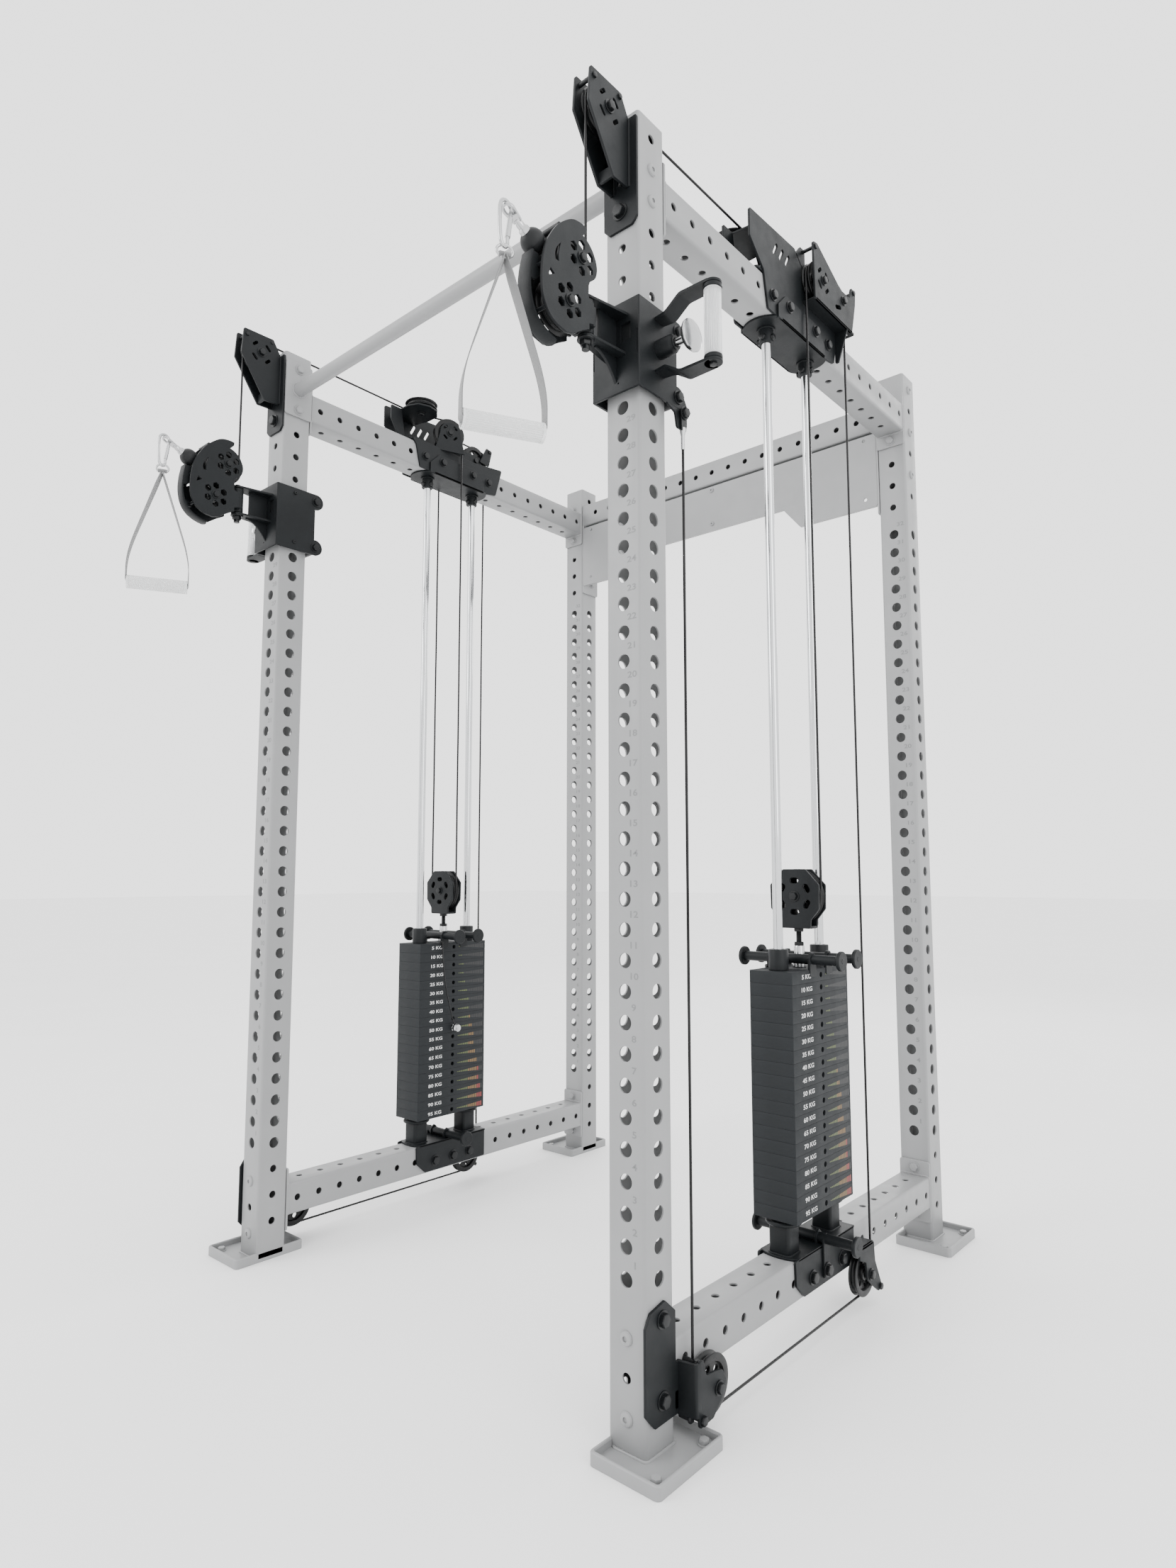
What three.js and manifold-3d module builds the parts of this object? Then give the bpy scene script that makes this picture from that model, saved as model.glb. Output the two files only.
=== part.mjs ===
// Cable crossover machine: a four-post rack with two mirrored cable stations.
// Millimetres. +X to the user's right, +Y towards the back, +Z up. The rack is laid out with y = 0 on the
// front face of its front posts, and the whole group is shifted at the end so that its origin is the bottom
// centre of its box.
import * as THREE from 'three';
import { mergeVertices } from 'three/addons/utils/BufferGeometryUtils.js';
import Module from 'manifold-3d';

const wasm = await Module();
wasm.setup();

// ---- driving dimensions -------------------------------------------------------------------------------
const RACK_W = 1230;
const RACK_D = 1230;
const RACK_H = 2261;
const TUBE = 75;
const WALL = 3;
const GAP = 0.3;
const PLATE = 5;

const X_OUT = RACK_W / 2;
const X_IN = X_OUT - TUBE;
const X_MID = X_OUT - TUBE / 2;
const Y_BACK = RACK_D - TUBE;

const FOOT_IN = X_IN;
const FOOT_OUT = X_OUT + 62;
const FOOT_REACH = 50;
const FOOT_H = 22;
const FOOT_FLOOR = 8;
const FOOT_RIM = 7;

const FLANGE_T = 5;
const FLANGE_H = 146;
const TOP_BEAM_Z = 2134.5;
const LOW_BEAM_Z = 125.5;
const BAR_Z = 2165;
const BAR_R = 17;
const PANEL_LOW = 1911;
const PANEL_TOP = 2125;

const CABLE_R = 2.5;
const PULLEY_HALF = 9;
const PULLEY_BORE = 8;
const AXLE_R = 7.6;
const EAR_MID = 12;
const EAR_TOP = 14.5;
const EAR_HEAD = 22.5;
const EAR_OUT = 16;

const FRONT_R = 40;
const MID_R = 43;
const LOW_R = 44;
const LIFT_R = 53.5;
const TOP_RUN_Z = 2276;
const CABLE_Y = -98;
const OUTER_X = 631;
const INNER_X = 524;

const STACK_Y = 585;
const ROD_Y = [498, 674];
const ROD_R = 10;
const SOCKET_R = 10.7;
const STACK_W = 97;
const STACK_D = 243;
const STACK_TOP = 716;
const STACK_LOW = 235.3;
const WEIGHT_H = 25.3;
const LIFTED = 10;
const LIFT_Z = 864;

const PEG_R = 10;
const PEG_END_R = 20;
const PEG_HALF = 116;

const CARRIAGE_LOW = 1735;
const CARRIAGE_TOP = 1897;
const CARRIAGE_SIDE = 10; // running clearance from the post to the side plates
const CARRIAGE_FRONT = 15; // and from the post to the front plate
const BARREL_END = 666.5;
const PIN_Z = 1820;
const HEAD_UP = { y: CABLE_Y - FRONT_R, z: 1910 };
const HEAD_LOW = { y: -167, z: 1823 };
const EXIT_TILT = THREE.MathUtils.degToRad(24);
const BALL_R = 23;
const BALL_REACH = 77;
const GRIP_Z = 1577;
const GRIP_LEN = 128;
const GRIP_TURN = THREE.MathUtils.degToRad(63);

// ---- finishes -----------------------------------------------------------------------------------------
const finish = (color, roughness, metalness) => new THREE.MeshStandardMaterial({ color, roughness, metalness });
const GREY_PAINT = finish(0xb4b6b8, 0.45, 0.1);
const BLACK_PAINT = finish(0x23282b, 0.6, 0.1);
const BLACK_PLASTIC = finish(0x141617, 0.5, 0.0);
const CHROME = finish(0xd8dadc, 0.12, 1.0);
const WEIGHT_PAINT = finish(0x34393c, 0.7, 0.05);
const RUBBER = finish(0x1c1e20, 0.8, 0.0);
const WEBBING = finish(0x9a9a9a, 0.9, 0.0);

// ---- solids -------------------------------------------------------------------------------------------
const vec = (x, y, z) => new THREE.Vector3(x, y, z);

function solid(geometry) {
  geometry.deleteAttribute('normal');
  geometry.deleteAttribute('uv');
  const merged = mergeVertices(geometry, 1e-3);
  const index = merged.index.array;
  const kept = [];
  for (let i = 0; i < index.length; i += 3) {
    const [a, b, c] = [index[i], index[i + 1], index[i + 2]];
    if (a !== b && b !== c && c !== a) kept.push(a, b, c);
  }
  const vertProperties = Float32Array.from(merged.attributes.position.array);
  return new wasm.Manifold(new wasm.Mesh({ numProp: 3, vertProperties, triVerts: Uint32Array.from(kept) }));
}

const join = (...pieces) => pieces.flat().reduce((sum, piece) => sum.add(piece));
const cut = (base, ...tools) => tools.flat().reduce((rest, tool) => rest.subtract(tool), base);

function box(x0, x1, y0, y1, z0, z1) {
  const geometry = new THREE.BoxGeometry(x1 - x0, y1 - y0, z1 - z0);
  return solid(geometry.translate((x0 + x1) / 2, (y0 + y1) / 2, (z0 + z1) / 2));
}

// Turns geometry built along +Z so that it runs along a row axis or any direction, and moves it to a point.
function along(geometry, direction, centre) {
  const turn = new THREE.Quaternion().setFromUnitVectors(vec(0, 0, 1), direction.clone().normalize());
  return geometry.applyQuaternion(turn).translate(centre.x, centre.y, centre.z);
}

const AXIS = { x: vec(1, 0, 0), y: vec(0, 1, 0), z: vec(0, 0, 1) };

function cylinder(direction, centre, radius, length, sides = 16) {
  const geometry = new THREE.CylinderGeometry(radius, radius, length, sides).rotateX(Math.PI / 2);
  return solid(along(geometry, direction, centre));
}

function turned(profile, direction, centre, sides = 16) {
  const points = profile.map(([radius, height]) => new THREE.Vector2(radius, height));
  const geometry = new THREE.LatheGeometry(points, sides).rotateX(Math.PI / 2);
  return solid(along(geometry, direction, centre));
}

function extruded(outline, depth) {
  const shape = new THREE.Shape(outline.map(([a, b]) => new THREE.Vector2(a, b)));
  return new THREE.ExtrudeGeometry(shape, { depth, bevelEnabled: false, steps: 1 });
}

// A plate in the YZ plane: its outline holds (y, z) pairs and it fills x0 to x1.
function plateX(x0, x1, outline) {
  const geometry = extruded(outline, x1 - x0);
  const turn = new THREE.Matrix4().makeBasis(AXIS.y, AXIS.z, AXIS.x);
  return solid(geometry.applyMatrix4(turn).translate(x0, 0, 0));
}

// A plate in the XZ plane: its outline holds (x, z) pairs and it fills y0 to y1.
function plateY(y0, y1, outline) {
  const geometry = extruded(outline.map(([x, z]) => [z, x]), y1 - y0);
  const turn = new THREE.Matrix4().makeBasis(AXIS.z, AXIS.x, AXIS.y);
  return solid(geometry.applyMatrix4(turn).translate(0, y0, 0));
}

// A plate in the XY plane: its outline holds (x, y) pairs and it fills z0 to z1.
const plateZ = (z0, z1, outline) => solid(extruded(outline, z1 - z0).translate(0, 0, z0));

// A hexagon bolt: a shank through the stack of plates and a head proud of the face that it points out of.
function bolt(direction, face, headR = 11, headH = 7, shank = 0, shankR = 5) {
  const out = direction.clone().normalize();
  const head = cylinder(out, face.clone().addScaledVector(out, headH / 2 - 0.5), headR, headH + 1, 6);
  if (!shank) return head;
  return head.add(cylinder(out, face.clone().addScaledVector(out, -shank / 2), shankR, shank, 10));
}

function arc(cy, cz, radius, from, to, steps) {
  const points = [];
  for (let i = 0; i <= steps; i++) {
    const angle = THREE.MathUtils.degToRad(from + ((to - from) * i) / steps);
    points.push([cy + radius * Math.cos(angle), cz + radius * Math.sin(angle)]);
  }
  return points;
}

// ---- the group ----------------------------------------------------------------------------------------
const group = new THREE.Group();

// mirror = -1 makes the left copy of a right-hand piece.
function place(name, piece, material, mirror = 1) {
  const mesh = piece.getMesh();
  const stride = mesh.numProp;
  const position = new Float32Array((mesh.vertProperties.length / stride) * 3);
  for (let i = 0, j = 0; i < mesh.vertProperties.length; i += stride, j += 3) {
    position[j] = mesh.vertProperties[i] * mirror;
    position[j + 1] = mesh.vertProperties[i + 1];
    position[j + 2] = mesh.vertProperties[i + 2];
  }
  const index = Array.from(mesh.triVerts);
  if (mirror < 0) {
    for (let i = 0; i < index.length; i += 3) [index[i], index[i + 1]] = [index[i + 1], index[i]];
  }
  const geometry = new THREE.BufferGeometry();
  geometry.setAttribute('position', new THREE.BufferAttribute(position, 3));
  geometry.setIndex(index);
  geometry.computeVertexNormals();
  const node = new THREE.Mesh(geometry, material);
  node.name = name;
  group.add(node);
}

// ---- rack ---------------------------------------------------------------------------------------------
function tube(x0, x1, y0, y1, z0, z1, direction) {
  const inner = { x: [x0 + WALL, x1 - WALL], y: [y0 + WALL, y1 - WALL], z: [z0 + WALL, z1 - WALL] };
  inner[direction] = { x: [x0 - 1, x1 + 1], y: [y0 - 1, y1 + 1], z: [z0 - 1, z1 + 1] }[direction];
  return cut(box(x0, x1, y0, y1, z0, z1), box(...inner.x, ...inner.y, ...inner.z));
}

// A square post welded into the middle of its foot, with the foot's long side outwards.
function upright(yFront) {
  const foot = box(FOOT_IN, FOOT_OUT, yFront - FOOT_REACH, yFront + TUBE + FOOT_REACH, 0, FOOT_H);
  const tray = box(
    FOOT_IN + FOOT_RIM, FOOT_OUT - FOOT_RIM,
    yFront - FOOT_REACH + FOOT_RIM, yFront + TUBE + FOOT_REACH - FOOT_RIM,
    FOOT_FLOOR, FOOT_H + 1,
  );
  return join(cut(foot, tray), tube(X_IN, X_OUT, yFront, yFront + TUBE, FOOT_FLOOR - 2, RACK_H, 'z'));
}

// A side beam between the front and rear posts, with a bolting flange at each end.
function sideBeam(zMid) {
  const y0 = TUBE + GAP;
  const y1 = Y_BACK - GAP;
  const half = TUBE / 2;
  const flange = (a, b) => box(X_IN, X_OUT, a, b, zMid - FLANGE_H / 2, zMid + FLANGE_H / 2);
  const body = join(
    box(X_IN, X_OUT, y0, y1, zMid - half, zMid + half),
    flange(y0, y0 + FLANGE_T),
    flange(y1 - FLANGE_T, y1),
  );
  const hollow = box(X_IN + WALL, X_OUT - WALL, y0 - 1, y1 + 1, zMid - half + WALL, zMid + half - WALL);
  return cut(body, hollow);
}

function pullUpBar() {
  const reach = X_IN - GAP;
  const yMid = TUBE / 2;
  const bar = cylinder(AXIS.x, vec(0, yMid, BAR_Z), BAR_R, 2 * reach - 2, 24);
  const hollow = cylinder(AXIS.x, vec(0, yMid, BAR_Z), BAR_R - WALL, 2 * reach + 2, 16);
  const flange = (side) => {
    const [a, b] = [side * (reach - FLANGE_T), side * reach].sort((p, q) => p - q);
    return box(a, b, 0, TUBE, BAR_Z - FLANGE_H / 2, BAR_Z + FLANGE_H / 2);
  };
  return cut(join(bar, flange(-1), flange(1)), hollow);
}

// The rear cross member: a square tube with a deep flat panel under it and tall end flanges.
function rearCrossMember() {
  const reach = X_IN - GAP;
  const flangeLow = PANEL_LOW - 25;
  const beamTop = PANEL_TOP + TUBE;
  const flange = (side) => {
    const [a, b] = [side * (reach - FLANGE_T), side * reach].sort((p, q) => p - q);
    return box(a, b, Y_BACK, RACK_D, flangeLow, beamTop);
  };
  const beam = box(-reach, reach, Y_BACK, RACK_D, PANEL_TOP, beamTop);
  const panel = box(-reach, reach, Y_BACK, Y_BACK + 12, PANEL_LOW, PANEL_TOP + 1);
  const hollow = box(-reach - 1, reach + 1, Y_BACK + WALL, RACK_D - WALL, PANEL_TOP + WALL, beamTop - WALL);
  return cut(join(beam, panel, flange(-1), flange(1)), hollow);
}

// ---- pulleys ------------------------------------------------------------------------------------------
// pitch is the cable's centre line; the groove leaves the cable clear and the rim stands above it.
function pulley(direction, centre, pitch) {
  const rim = pitch + 4;
  const groove = pitch - 3.6;
  return turned([
    [PULLEY_BORE, -PULLEY_HALF],
    [rim, -PULLEY_HALF],
    [groove, -3.2],
    [groove, 3.2],
    [rim, PULLEY_HALF],
    [PULLEY_BORE, PULLEY_HALF],
    [PULLEY_BORE, -PULLEY_HALF],
  ], direction, centre);
}

// The fixed axle of a pulley: a shaft between two plates, a spacer on each side and a bolt head at each end.
// ear is the distance from the pulley's middle to the inner face of each plate.
function axle(direction, centre, ear) {
  const out = direction.clone().normalize();
  const start = PULLEY_HALF + 0.4;
  const outside = ear + PLATE;
  const at = (distance) => centre.clone().addScaledVector(out, distance);
  return join(
    cylinder(out, centre, AXLE_R, 2 * outside, 12),
    cylinder(out, at(-(start + ear + 1) / 2), 11, ear + 1 - start, 8),
    cylinder(out, at((start + ear + 1) / 2), 11, ear + 1 - start, 8),
    bolt(out, at(outside), 12, 8),
    bolt(out.clone().negate(), at(-outside), 12, 8),
  );
}

// The axle of an outer pulley: it stands out from an inner face and ends in a bolt through the outer plate.
function outerAxle(centre, face, ear) {
  const start = PULLEY_HALF + 0.4;
  const end = ear + 1;
  const at = (x) => vec(x, centre.y, centre.z);
  return join(
    cylinder(AXIS.x, at((face + centre.x + ear) / 2), AXLE_R, centre.x + ear - face, 12),
    cylinder(AXIS.x, at((face + centre.x - start) / 2), 11, centre.x - start - face, 8),
    cylinder(AXIS.x, at(centre.x + (start + end) / 2), 11, end - start, 8),
    bolt(AXIS.x, at(centre.x + ear + PLATE), 12, 8),
  );
}

// ---- cable route --------------------------------------------------------------------------------------
// The run leaves the horizontal turning pulley at a slant, so that it comes down inside the beam.
const TURN = vec(X_MID - MID_R, 436, TOP_RUN_Z);
const DROP_POINT = vec(INNER_X, STACK_Y, 0);
const toDrop = Math.hypot(DROP_POINT.x - TURN.x, DROP_POINT.y - TURN.y);
const slant = Math.atan2(TURN.x - DROP_POINT.x, DROP_POINT.y - TURN.y) + Math.asin(MID_R / toDrop);
const SLANT_DIR = vec(-Math.sin(slant), Math.cos(slant), 0);
const SLANT_AXIS = vec(Math.cos(slant), Math.sin(slant), 0);
const DROP = vec(INNER_X, STACK_Y, TOP_RUN_Z - MID_R).addScaledVector(SLANT_DIR, -MID_R);

const TOP_FRONT = vec(X_MID, CABLE_Y + FRONT_R, TOP_RUN_Z - FRONT_R);
const LIFT = vec(X_MID, STACK_Y, LIFT_Z);
const OVER_FRONT = vec(OUTER_X, STACK_Y + MID_R, 2240);
const OVER_REAR = vec(OUTER_X, 727, 2240);
const BASE = vec(OUTER_X, OVER_REAR.y + MID_R - LOW_R, 74);
const FLOOR = vec(OUTER_X, 148, 74);
const EXIT_DIR = vec(0, -Math.cos(EXIT_TILT), Math.sin(EXIT_TILT));
const EXIT = vec(
  X_MID,
  HEAD_UP.y - FRONT_R * Math.sin(EXIT_TILT),
  HEAD_UP.z - FRONT_R * Math.cos(EXIT_TILT),
);
const BALL = EXIT.clone().addScaledVector(EXIT_DIR, BALL_REACH);
const TERMINAL_Z = 1640;

// Points on the wrap round a pulley: centre + radius (cos a . u + sin a . v), angles in degrees.
function wrap(centre, radius, u, v, from, to, steps) {
  const points = [];
  for (let i = 0; i <= steps; i++) {
    const angle = THREE.MathUtils.degToRad(from + ((to - from) * i) / steps);
    points.push(centre.clone()
      .addScaledVector(u, radius * Math.cos(angle))
      .addScaledVector(v, radius * Math.sin(angle)));
  }
  return points;
}

function cableRoute() {
  const { x: X, y: Y, z: Z } = AXIS;
  const headUp = vec(X_MID, HEAD_UP.y, HEAD_UP.z);
  const tiltDeg = THREE.MathUtils.radToDeg(EXIT_TILT);
  const slantDeg = THREE.MathUtils.radToDeg(slant);
  return [
    BALL.clone().addScaledVector(EXIT_DIR, -BALL_R - GAP),
    ...wrap(headUp, FRONT_R, Y, Z, -90 - tiltDeg, 0, 8),
    ...wrap(TOP_FRONT, FRONT_R, Y, Z, 180, 90, 5),
    ...wrap(TURN, MID_R, X, Y, 0, slantDeg, 2),
    ...wrap(DROP, MID_R, SLANT_DIR, Z, 90, 0, 5),
    ...wrap(LIFT, LIFT_R, X, Z, 180, 360, 10),
    ...wrap(OVER_FRONT, MID_R, Y, Z, 180, 90, 5),
    ...wrap(OVER_REAR, MID_R, Y, Z, 90, 0, 5),
    ...wrap(BASE, LOW_R, Y, Z, 0, -90, 5),
    ...wrap(FLOOR, LOW_R, Y, Z, -90, -180, 5),
    vec(OUTER_X, FLOOR.y - LOW_R, TERMINAL_Z - GAP),
  ];
}

// A path through a list of points in which every extrusion step lands on one point.
class RoutedPath extends THREE.Curve {
  constructor(points) {
    super();
    this.points = points;
  }

  getPointAt(u, target = new THREE.Vector3()) {
    const last = this.points.length - 1;
    const at = Math.min(last, Math.max(0, Math.round(u * last)));
    return target.copy(this.points[at]);
  }

  getTangentAt(u, target = new THREE.Vector3()) {
    const last = this.points.length - 1;
    const at = Math.min(last, Math.max(0, Math.round(u * last)));
    const before = this.points[Math.max(0, at - 1)];
    const after = this.points[Math.min(last, at + 1)];
    const here = this.points[at];
    const back = here.clone().sub(before).normalize();
    const ahead = after.clone().sub(here).normalize();
    return target.copy(back).add(ahead).normalize();
  }
}

function roundSection(radius, sides) {
  const section = [];
  for (let i = 0; i < sides; i++) {
    const angle = (2 * i * Math.PI) / sides;
    section.push(new THREE.Vector2(radius * Math.cos(angle), radius * Math.sin(angle)));
  }
  return new THREE.Shape(section);
}

function cable() {
  const points = cableRoute();
  const settings = { steps: points.length - 1, bevelEnabled: false, extrudePath: new RoutedPath(points) };
  return solid(new THREE.ExtrudeGeometry(roundSection(CABLE_R, 6), settings));
}

// ---- top of the station -------------------------------------------------------------------------------
function topFrontBracket() {
  const back = plateY(-PLATE - GAP, -GAP, [
    [X_IN, 2058], [X_IN + 12, 2046], [X_OUT - 12, 2046], [X_OUT, 2058], [X_OUT, 2249], [X_IN, 2249],
  ]);
  const outline = [
    [-GAP - 1, 2116], [-46, 2114], [-112, 2216], [-107, 2282], [-26, 2284], [-GAP - 1, 2248],
  ];
  const ears = [-1, 1].map((side) => {
    const middle = X_MID + side * (EAR_TOP + PLATE / 2);
    return plateX(middle - PLATE / 2, middle + PLATE / 2, outline);
  });
  const guard = cylinder(AXIS.x, vec(X_MID, -98, 2268), 4, 2 * (EAR_TOP + PLATE) + 8, 6);
  return join(
    back,
    ears,
    guard,
    axle(AXIS.x, TOP_FRONT, EAR_TOP),
    bolt(vec(0, -1, 0), vec(X_MID, -PLATE - GAP, 2080), 12, 9),
  );
}

// Saddle under the top side beam. It carries the guide rod collars below, the turning and drop pulleys above
// and inside, and the two outer pulleys on a shelf outside.
function topMidBracket() {
  const z0 = TOP_BEAM_Z - TUBE / 2 - GAP;
  const beamTop = TOP_BEAM_Z + TUBE / 2;
  const out0 = X_OUT + GAP;
  const in0 = X_IN - GAP;
  const bottom = plateZ(z0 - PLATE, z0, [
    [in0 - PLATE, 425], [out0 + PLATE, 425], [out0 + PLATE, 700], [X_OUT - 8, 720], [X_IN + 8, 720],
    [in0 - PLATE, 700],
  ]);
  const inside = plateX(in0 - PLATE, in0, [
    [432, z0 - 1], [421, beamTop], [400, beamTop + 8], [650, beamTop + 8], [768, beamTop + 8], [743, z0 + 8],
    [700, z0 - 1],
  ]);
  const outside = plateX(out0, out0 + PLATE, [
    [432, z0 - 1], [420, beamTop + 2], [366, 2222], [366, 2284], [556, 2294], [600, 2258], [602, 2202],
    [768, 2202], [743, z0 + 8], [700, z0 - 1],
  ]);
  const deck = plateZ(beamTop + GAP, beamTop + GAP + PLATE, [
    [in0 - 1, 400], [out0 + 1, 400], [out0 + 1, 700], [in0 - 1, 700],
  ]);
  const shelf = plateZ(2180, 2185, [
    [out0, 588], [OUTER_X + EAR_OUT + PLATE, 588], [OUTER_X + EAR_OUT + PLATE, 766], [out0, 766],
  ]);
  const shelfHoles = [
    cylinder(AXIS.z, vec(OUTER_X, STACK_Y + 4, 2182), 9, 12, 12),
    cylinder(AXIS.z, vec(OUTER_X, OVER_REAR.y + MID_R, 2182), 9, 12, 12),
  ];
  const ear = plateX(OUTER_X + EAR_OUT, OUTER_X + EAR_OUT + PLATE, [
    [588, 2180], [583, 2312], [603, 2316], [716, 2262], [762, 2264], [772, 2296], [793, 2290], [790, 2258],
    [766, 2180],
  ]);
  const rearBacking = plateX(out0, out0 + PLATE, [
    [600, 2184], [600, 2262], [745, 2262], [766, 2190],
  ]);
  const guards = [[592, 2303], [782, 2286]].map(([y, z]) => {
    const span = OUTER_X + EAR_OUT + PLATE + 4 - out0;
    return cylinder(AXIS.x, vec(out0 + span / 2, y, z), 4, span, 6);
  });
  const guardTab = plateX(out0, out0 + PLATE, [[740, 2240], [770, 2296], [793, 2290], [780, 2240]]);
  const guardTabFront = plateX(out0, out0 + PLATE, [[560, 2285], [583, 2312], [603, 2312], [603, 2250]]);
  // Turning pulley: a vertical axle on a raised shelf that a web ties to the outside plate.
  const turnShelf = plateZ(TOP_RUN_Z - 17, TOP_RUN_Z - 12, [
    [out0 + 1, 390], [out0 + 1, 470], [560, 484], [520, 484], [494, 462], [488, 430], [500, 398], [534, 384],
    [575, 386],
  ]);
  const turnAxle = join(
    cylinder(AXIS.z, vec(TURN.x, TURN.y, TOP_RUN_Z - 1), AXLE_R, 28, 12),
    cylinder(AXIS.z, vec(TURN.x, TURN.y, TOP_RUN_Z - 10.7), 11, 2.6, 8),
    bolt(AXIS.z, vec(TURN.x, TURN.y, TOP_RUN_Z + 12), 12, 7),
    bolt(vec(0, 0, -1), vec(TURN.x, TURN.y, TOP_RUN_Z - 17), 12, 8),
  );
  const frontPost = plateX(562, 567, [[350, 2222], [350, 2264], [386, 2264], [400, beamTop + 1], [380, beamTop + 1]]);
  const frontPostCut = box(540, 600, 386, 400, 2259.5, 2300);
  // Drop pulley: two plates square to its slanted axis, standing on the deck.
  const dropPlates = [-1, 1].map((side) => {
    const outline = [
      ...arc(0, DROP.z, 32, 180, 0, 6), [46, beamTop + 2], [-46, beamTop + 2],
    ];
    const geometry = extruded(outline, PLATE);
    geometry.translate(0, 0, side > 0 ? EAR_MID : -EAR_MID - PLATE);
    geometry.applyMatrix4(new THREE.Matrix4().makeBasis(SLANT_DIR, AXIS.z, SLANT_AXIS));
    return solid(geometry.translate(DROP.x, DROP.y, 0));
  });
  const collars = ROD_Y.map((y) => cylinder(AXIS.z, vec(X_MID, y, z0 - PLATE - 16), 15, 34, 12));
  const rodSockets = ROD_Y.map((y) => cylinder(AXIS.z, vec(X_MID, y, z0 - PLATE - 24), SOCKET_R, 44, 12));
  const clampBolts = ROD_Y.flatMap((y) => [
    bolt(vec(1, 0, 0), vec(X_MID + 14, y, 2070), 7, 6),
    bolt(vec(-1, 0, 0), vec(X_MID - 14, y, 2070), 7, 6),
  ]);
  const sideBolts = [473, 535, 650, 715].flatMap((y) => [
    bolt(AXIS.x, vec(out0 + PLATE, y, 2142), 11, 8),
    bolt(vec(-1, 0, 0), vec(in0 - PLATE, y, 2142), 11, 8),
  ]);
  const cableNotch = box(INNER_X - 8, INNER_X + 4, 577, 593, 2170, 2300);
  const body = join(
    bottom, inside, outside, deck, cut(shelf, shelfHoles), ear, outerAxle(OVER_FRONT, out0, EAR_OUT),
    outerAxle(OVER_REAR, out0, EAR_OUT),
    rearBacking, guards, guardTab, guardTabFront, turnShelf, turnAxle, cut(frontPost, frontPostCut),
    dropPlates, axle(SLANT_AXIS, DROP, EAR_MID), collars, clampBolts, sideBolts,
  );
  return cut(body, rodSockets, cableNotch);
}

// ---- bottom of the station ----------------------------------------------------------------------------
function peg(y, z) {
  return join(
    cylinder(AXIS.x, vec(X_MID, y, z), PEG_R, 2 * PEG_HALF - 4, 10),
    cylinder(AXIS.x, vec(X_MID - PEG_HALF + 4, y, z), PEG_END_R, 8, 14),
    cylinder(AXIS.x, vec(X_MID + PEG_HALF - 4, y, z), PEG_END_R, 8, 14),
  );
}

// Saddle over the lower side beam: two posts that hold the guide rods, a band peg and the base pulley.
function baseBracket() {
  const top = LOW_BEAM_Z + TUBE / 2 + GAP;
  const out0 = X_OUT + GAP;
  const in0 = X_IN - GAP;
  const deck = plateZ(top, top + PLATE, [
    [in0 - PLATE, 462], [out0 + PLATE, 462], [out0 + PLATE, 718], [in0 - PLATE, 718],
  ]);
  const outline = [[462, top + PLATE], [468, 121], [498, 93], [716, 93], [716, top + PLATE]];
  const sides = [plateX(out0, out0 + PLATE, outline), plateX(in0 - PLATE, in0, outline)];
  const posts = ROD_Y.map((y) => join(
    box(X_MID - 26, X_MID + 26, y - 26, y + 26, top + 2, 224),
    cylinder(AXIS.z, vec(X_MID, y, 227), 36, 8, 16),
  ));
  const sockets = ROD_Y.map((y) => cylinder(AXIS.z, vec(X_MID, y, 215), SOCKET_R, 60, 12));
  const pegPost = box(X_MID - 30, X_MID + 30, STACK_Y - 6, STACK_Y + 6, top + 2, 178);
  const pegStrap = join(
    plateX(out0 + PLATE - 1, out0 + PLATE + 5, [[573, 104], [573, 190], [597, 190], [597, 104]]),
  );
  const bolts = [532, 597, 657].flatMap((y) => [
    bolt(AXIS.x, vec(out0 + PLATE, y, 119), 11, 8),
    bolt(vec(-1, 0, 0), vec(in0 - PLATE, y, 119), 11, 8),
  ]);
  const web = plateZ(132, 137, [
    [out0 + 1, 676], [OUTER_X + EAR_OUT + PLATE, 676], [OUTER_X + EAR_OUT + PLATE, 744], [out0 + 1, 744],
  ]);
  const armOuter = plateX(OUTER_X + EAR_OUT, OUTER_X + EAR_OUT + PLATE, [
    [676, 137], [676, 112], [706, 104], [712, 66], [762, 29], [778, 36], [744, 100], [744, 137],
  ]);
  const armInner = plateX(out0 + 1, out0 + PLATE, [
    [700, 120], [706, 56], [740, 56], [744, 137], [700, 137],
  ]);
  const guard = cylinder(AXIS.x, vec(OUTER_X + 12, 770, 37), 5, 26, 6);
  const body = join(deck, sides, posts, peg(STACK_Y, 178), pegPost, pegStrap, bolts, web, armOuter, armInner,
    outerAxle(BASE, out0 + 1, EAR_OUT), guard);
  return cut(body, sockets);
}

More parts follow.
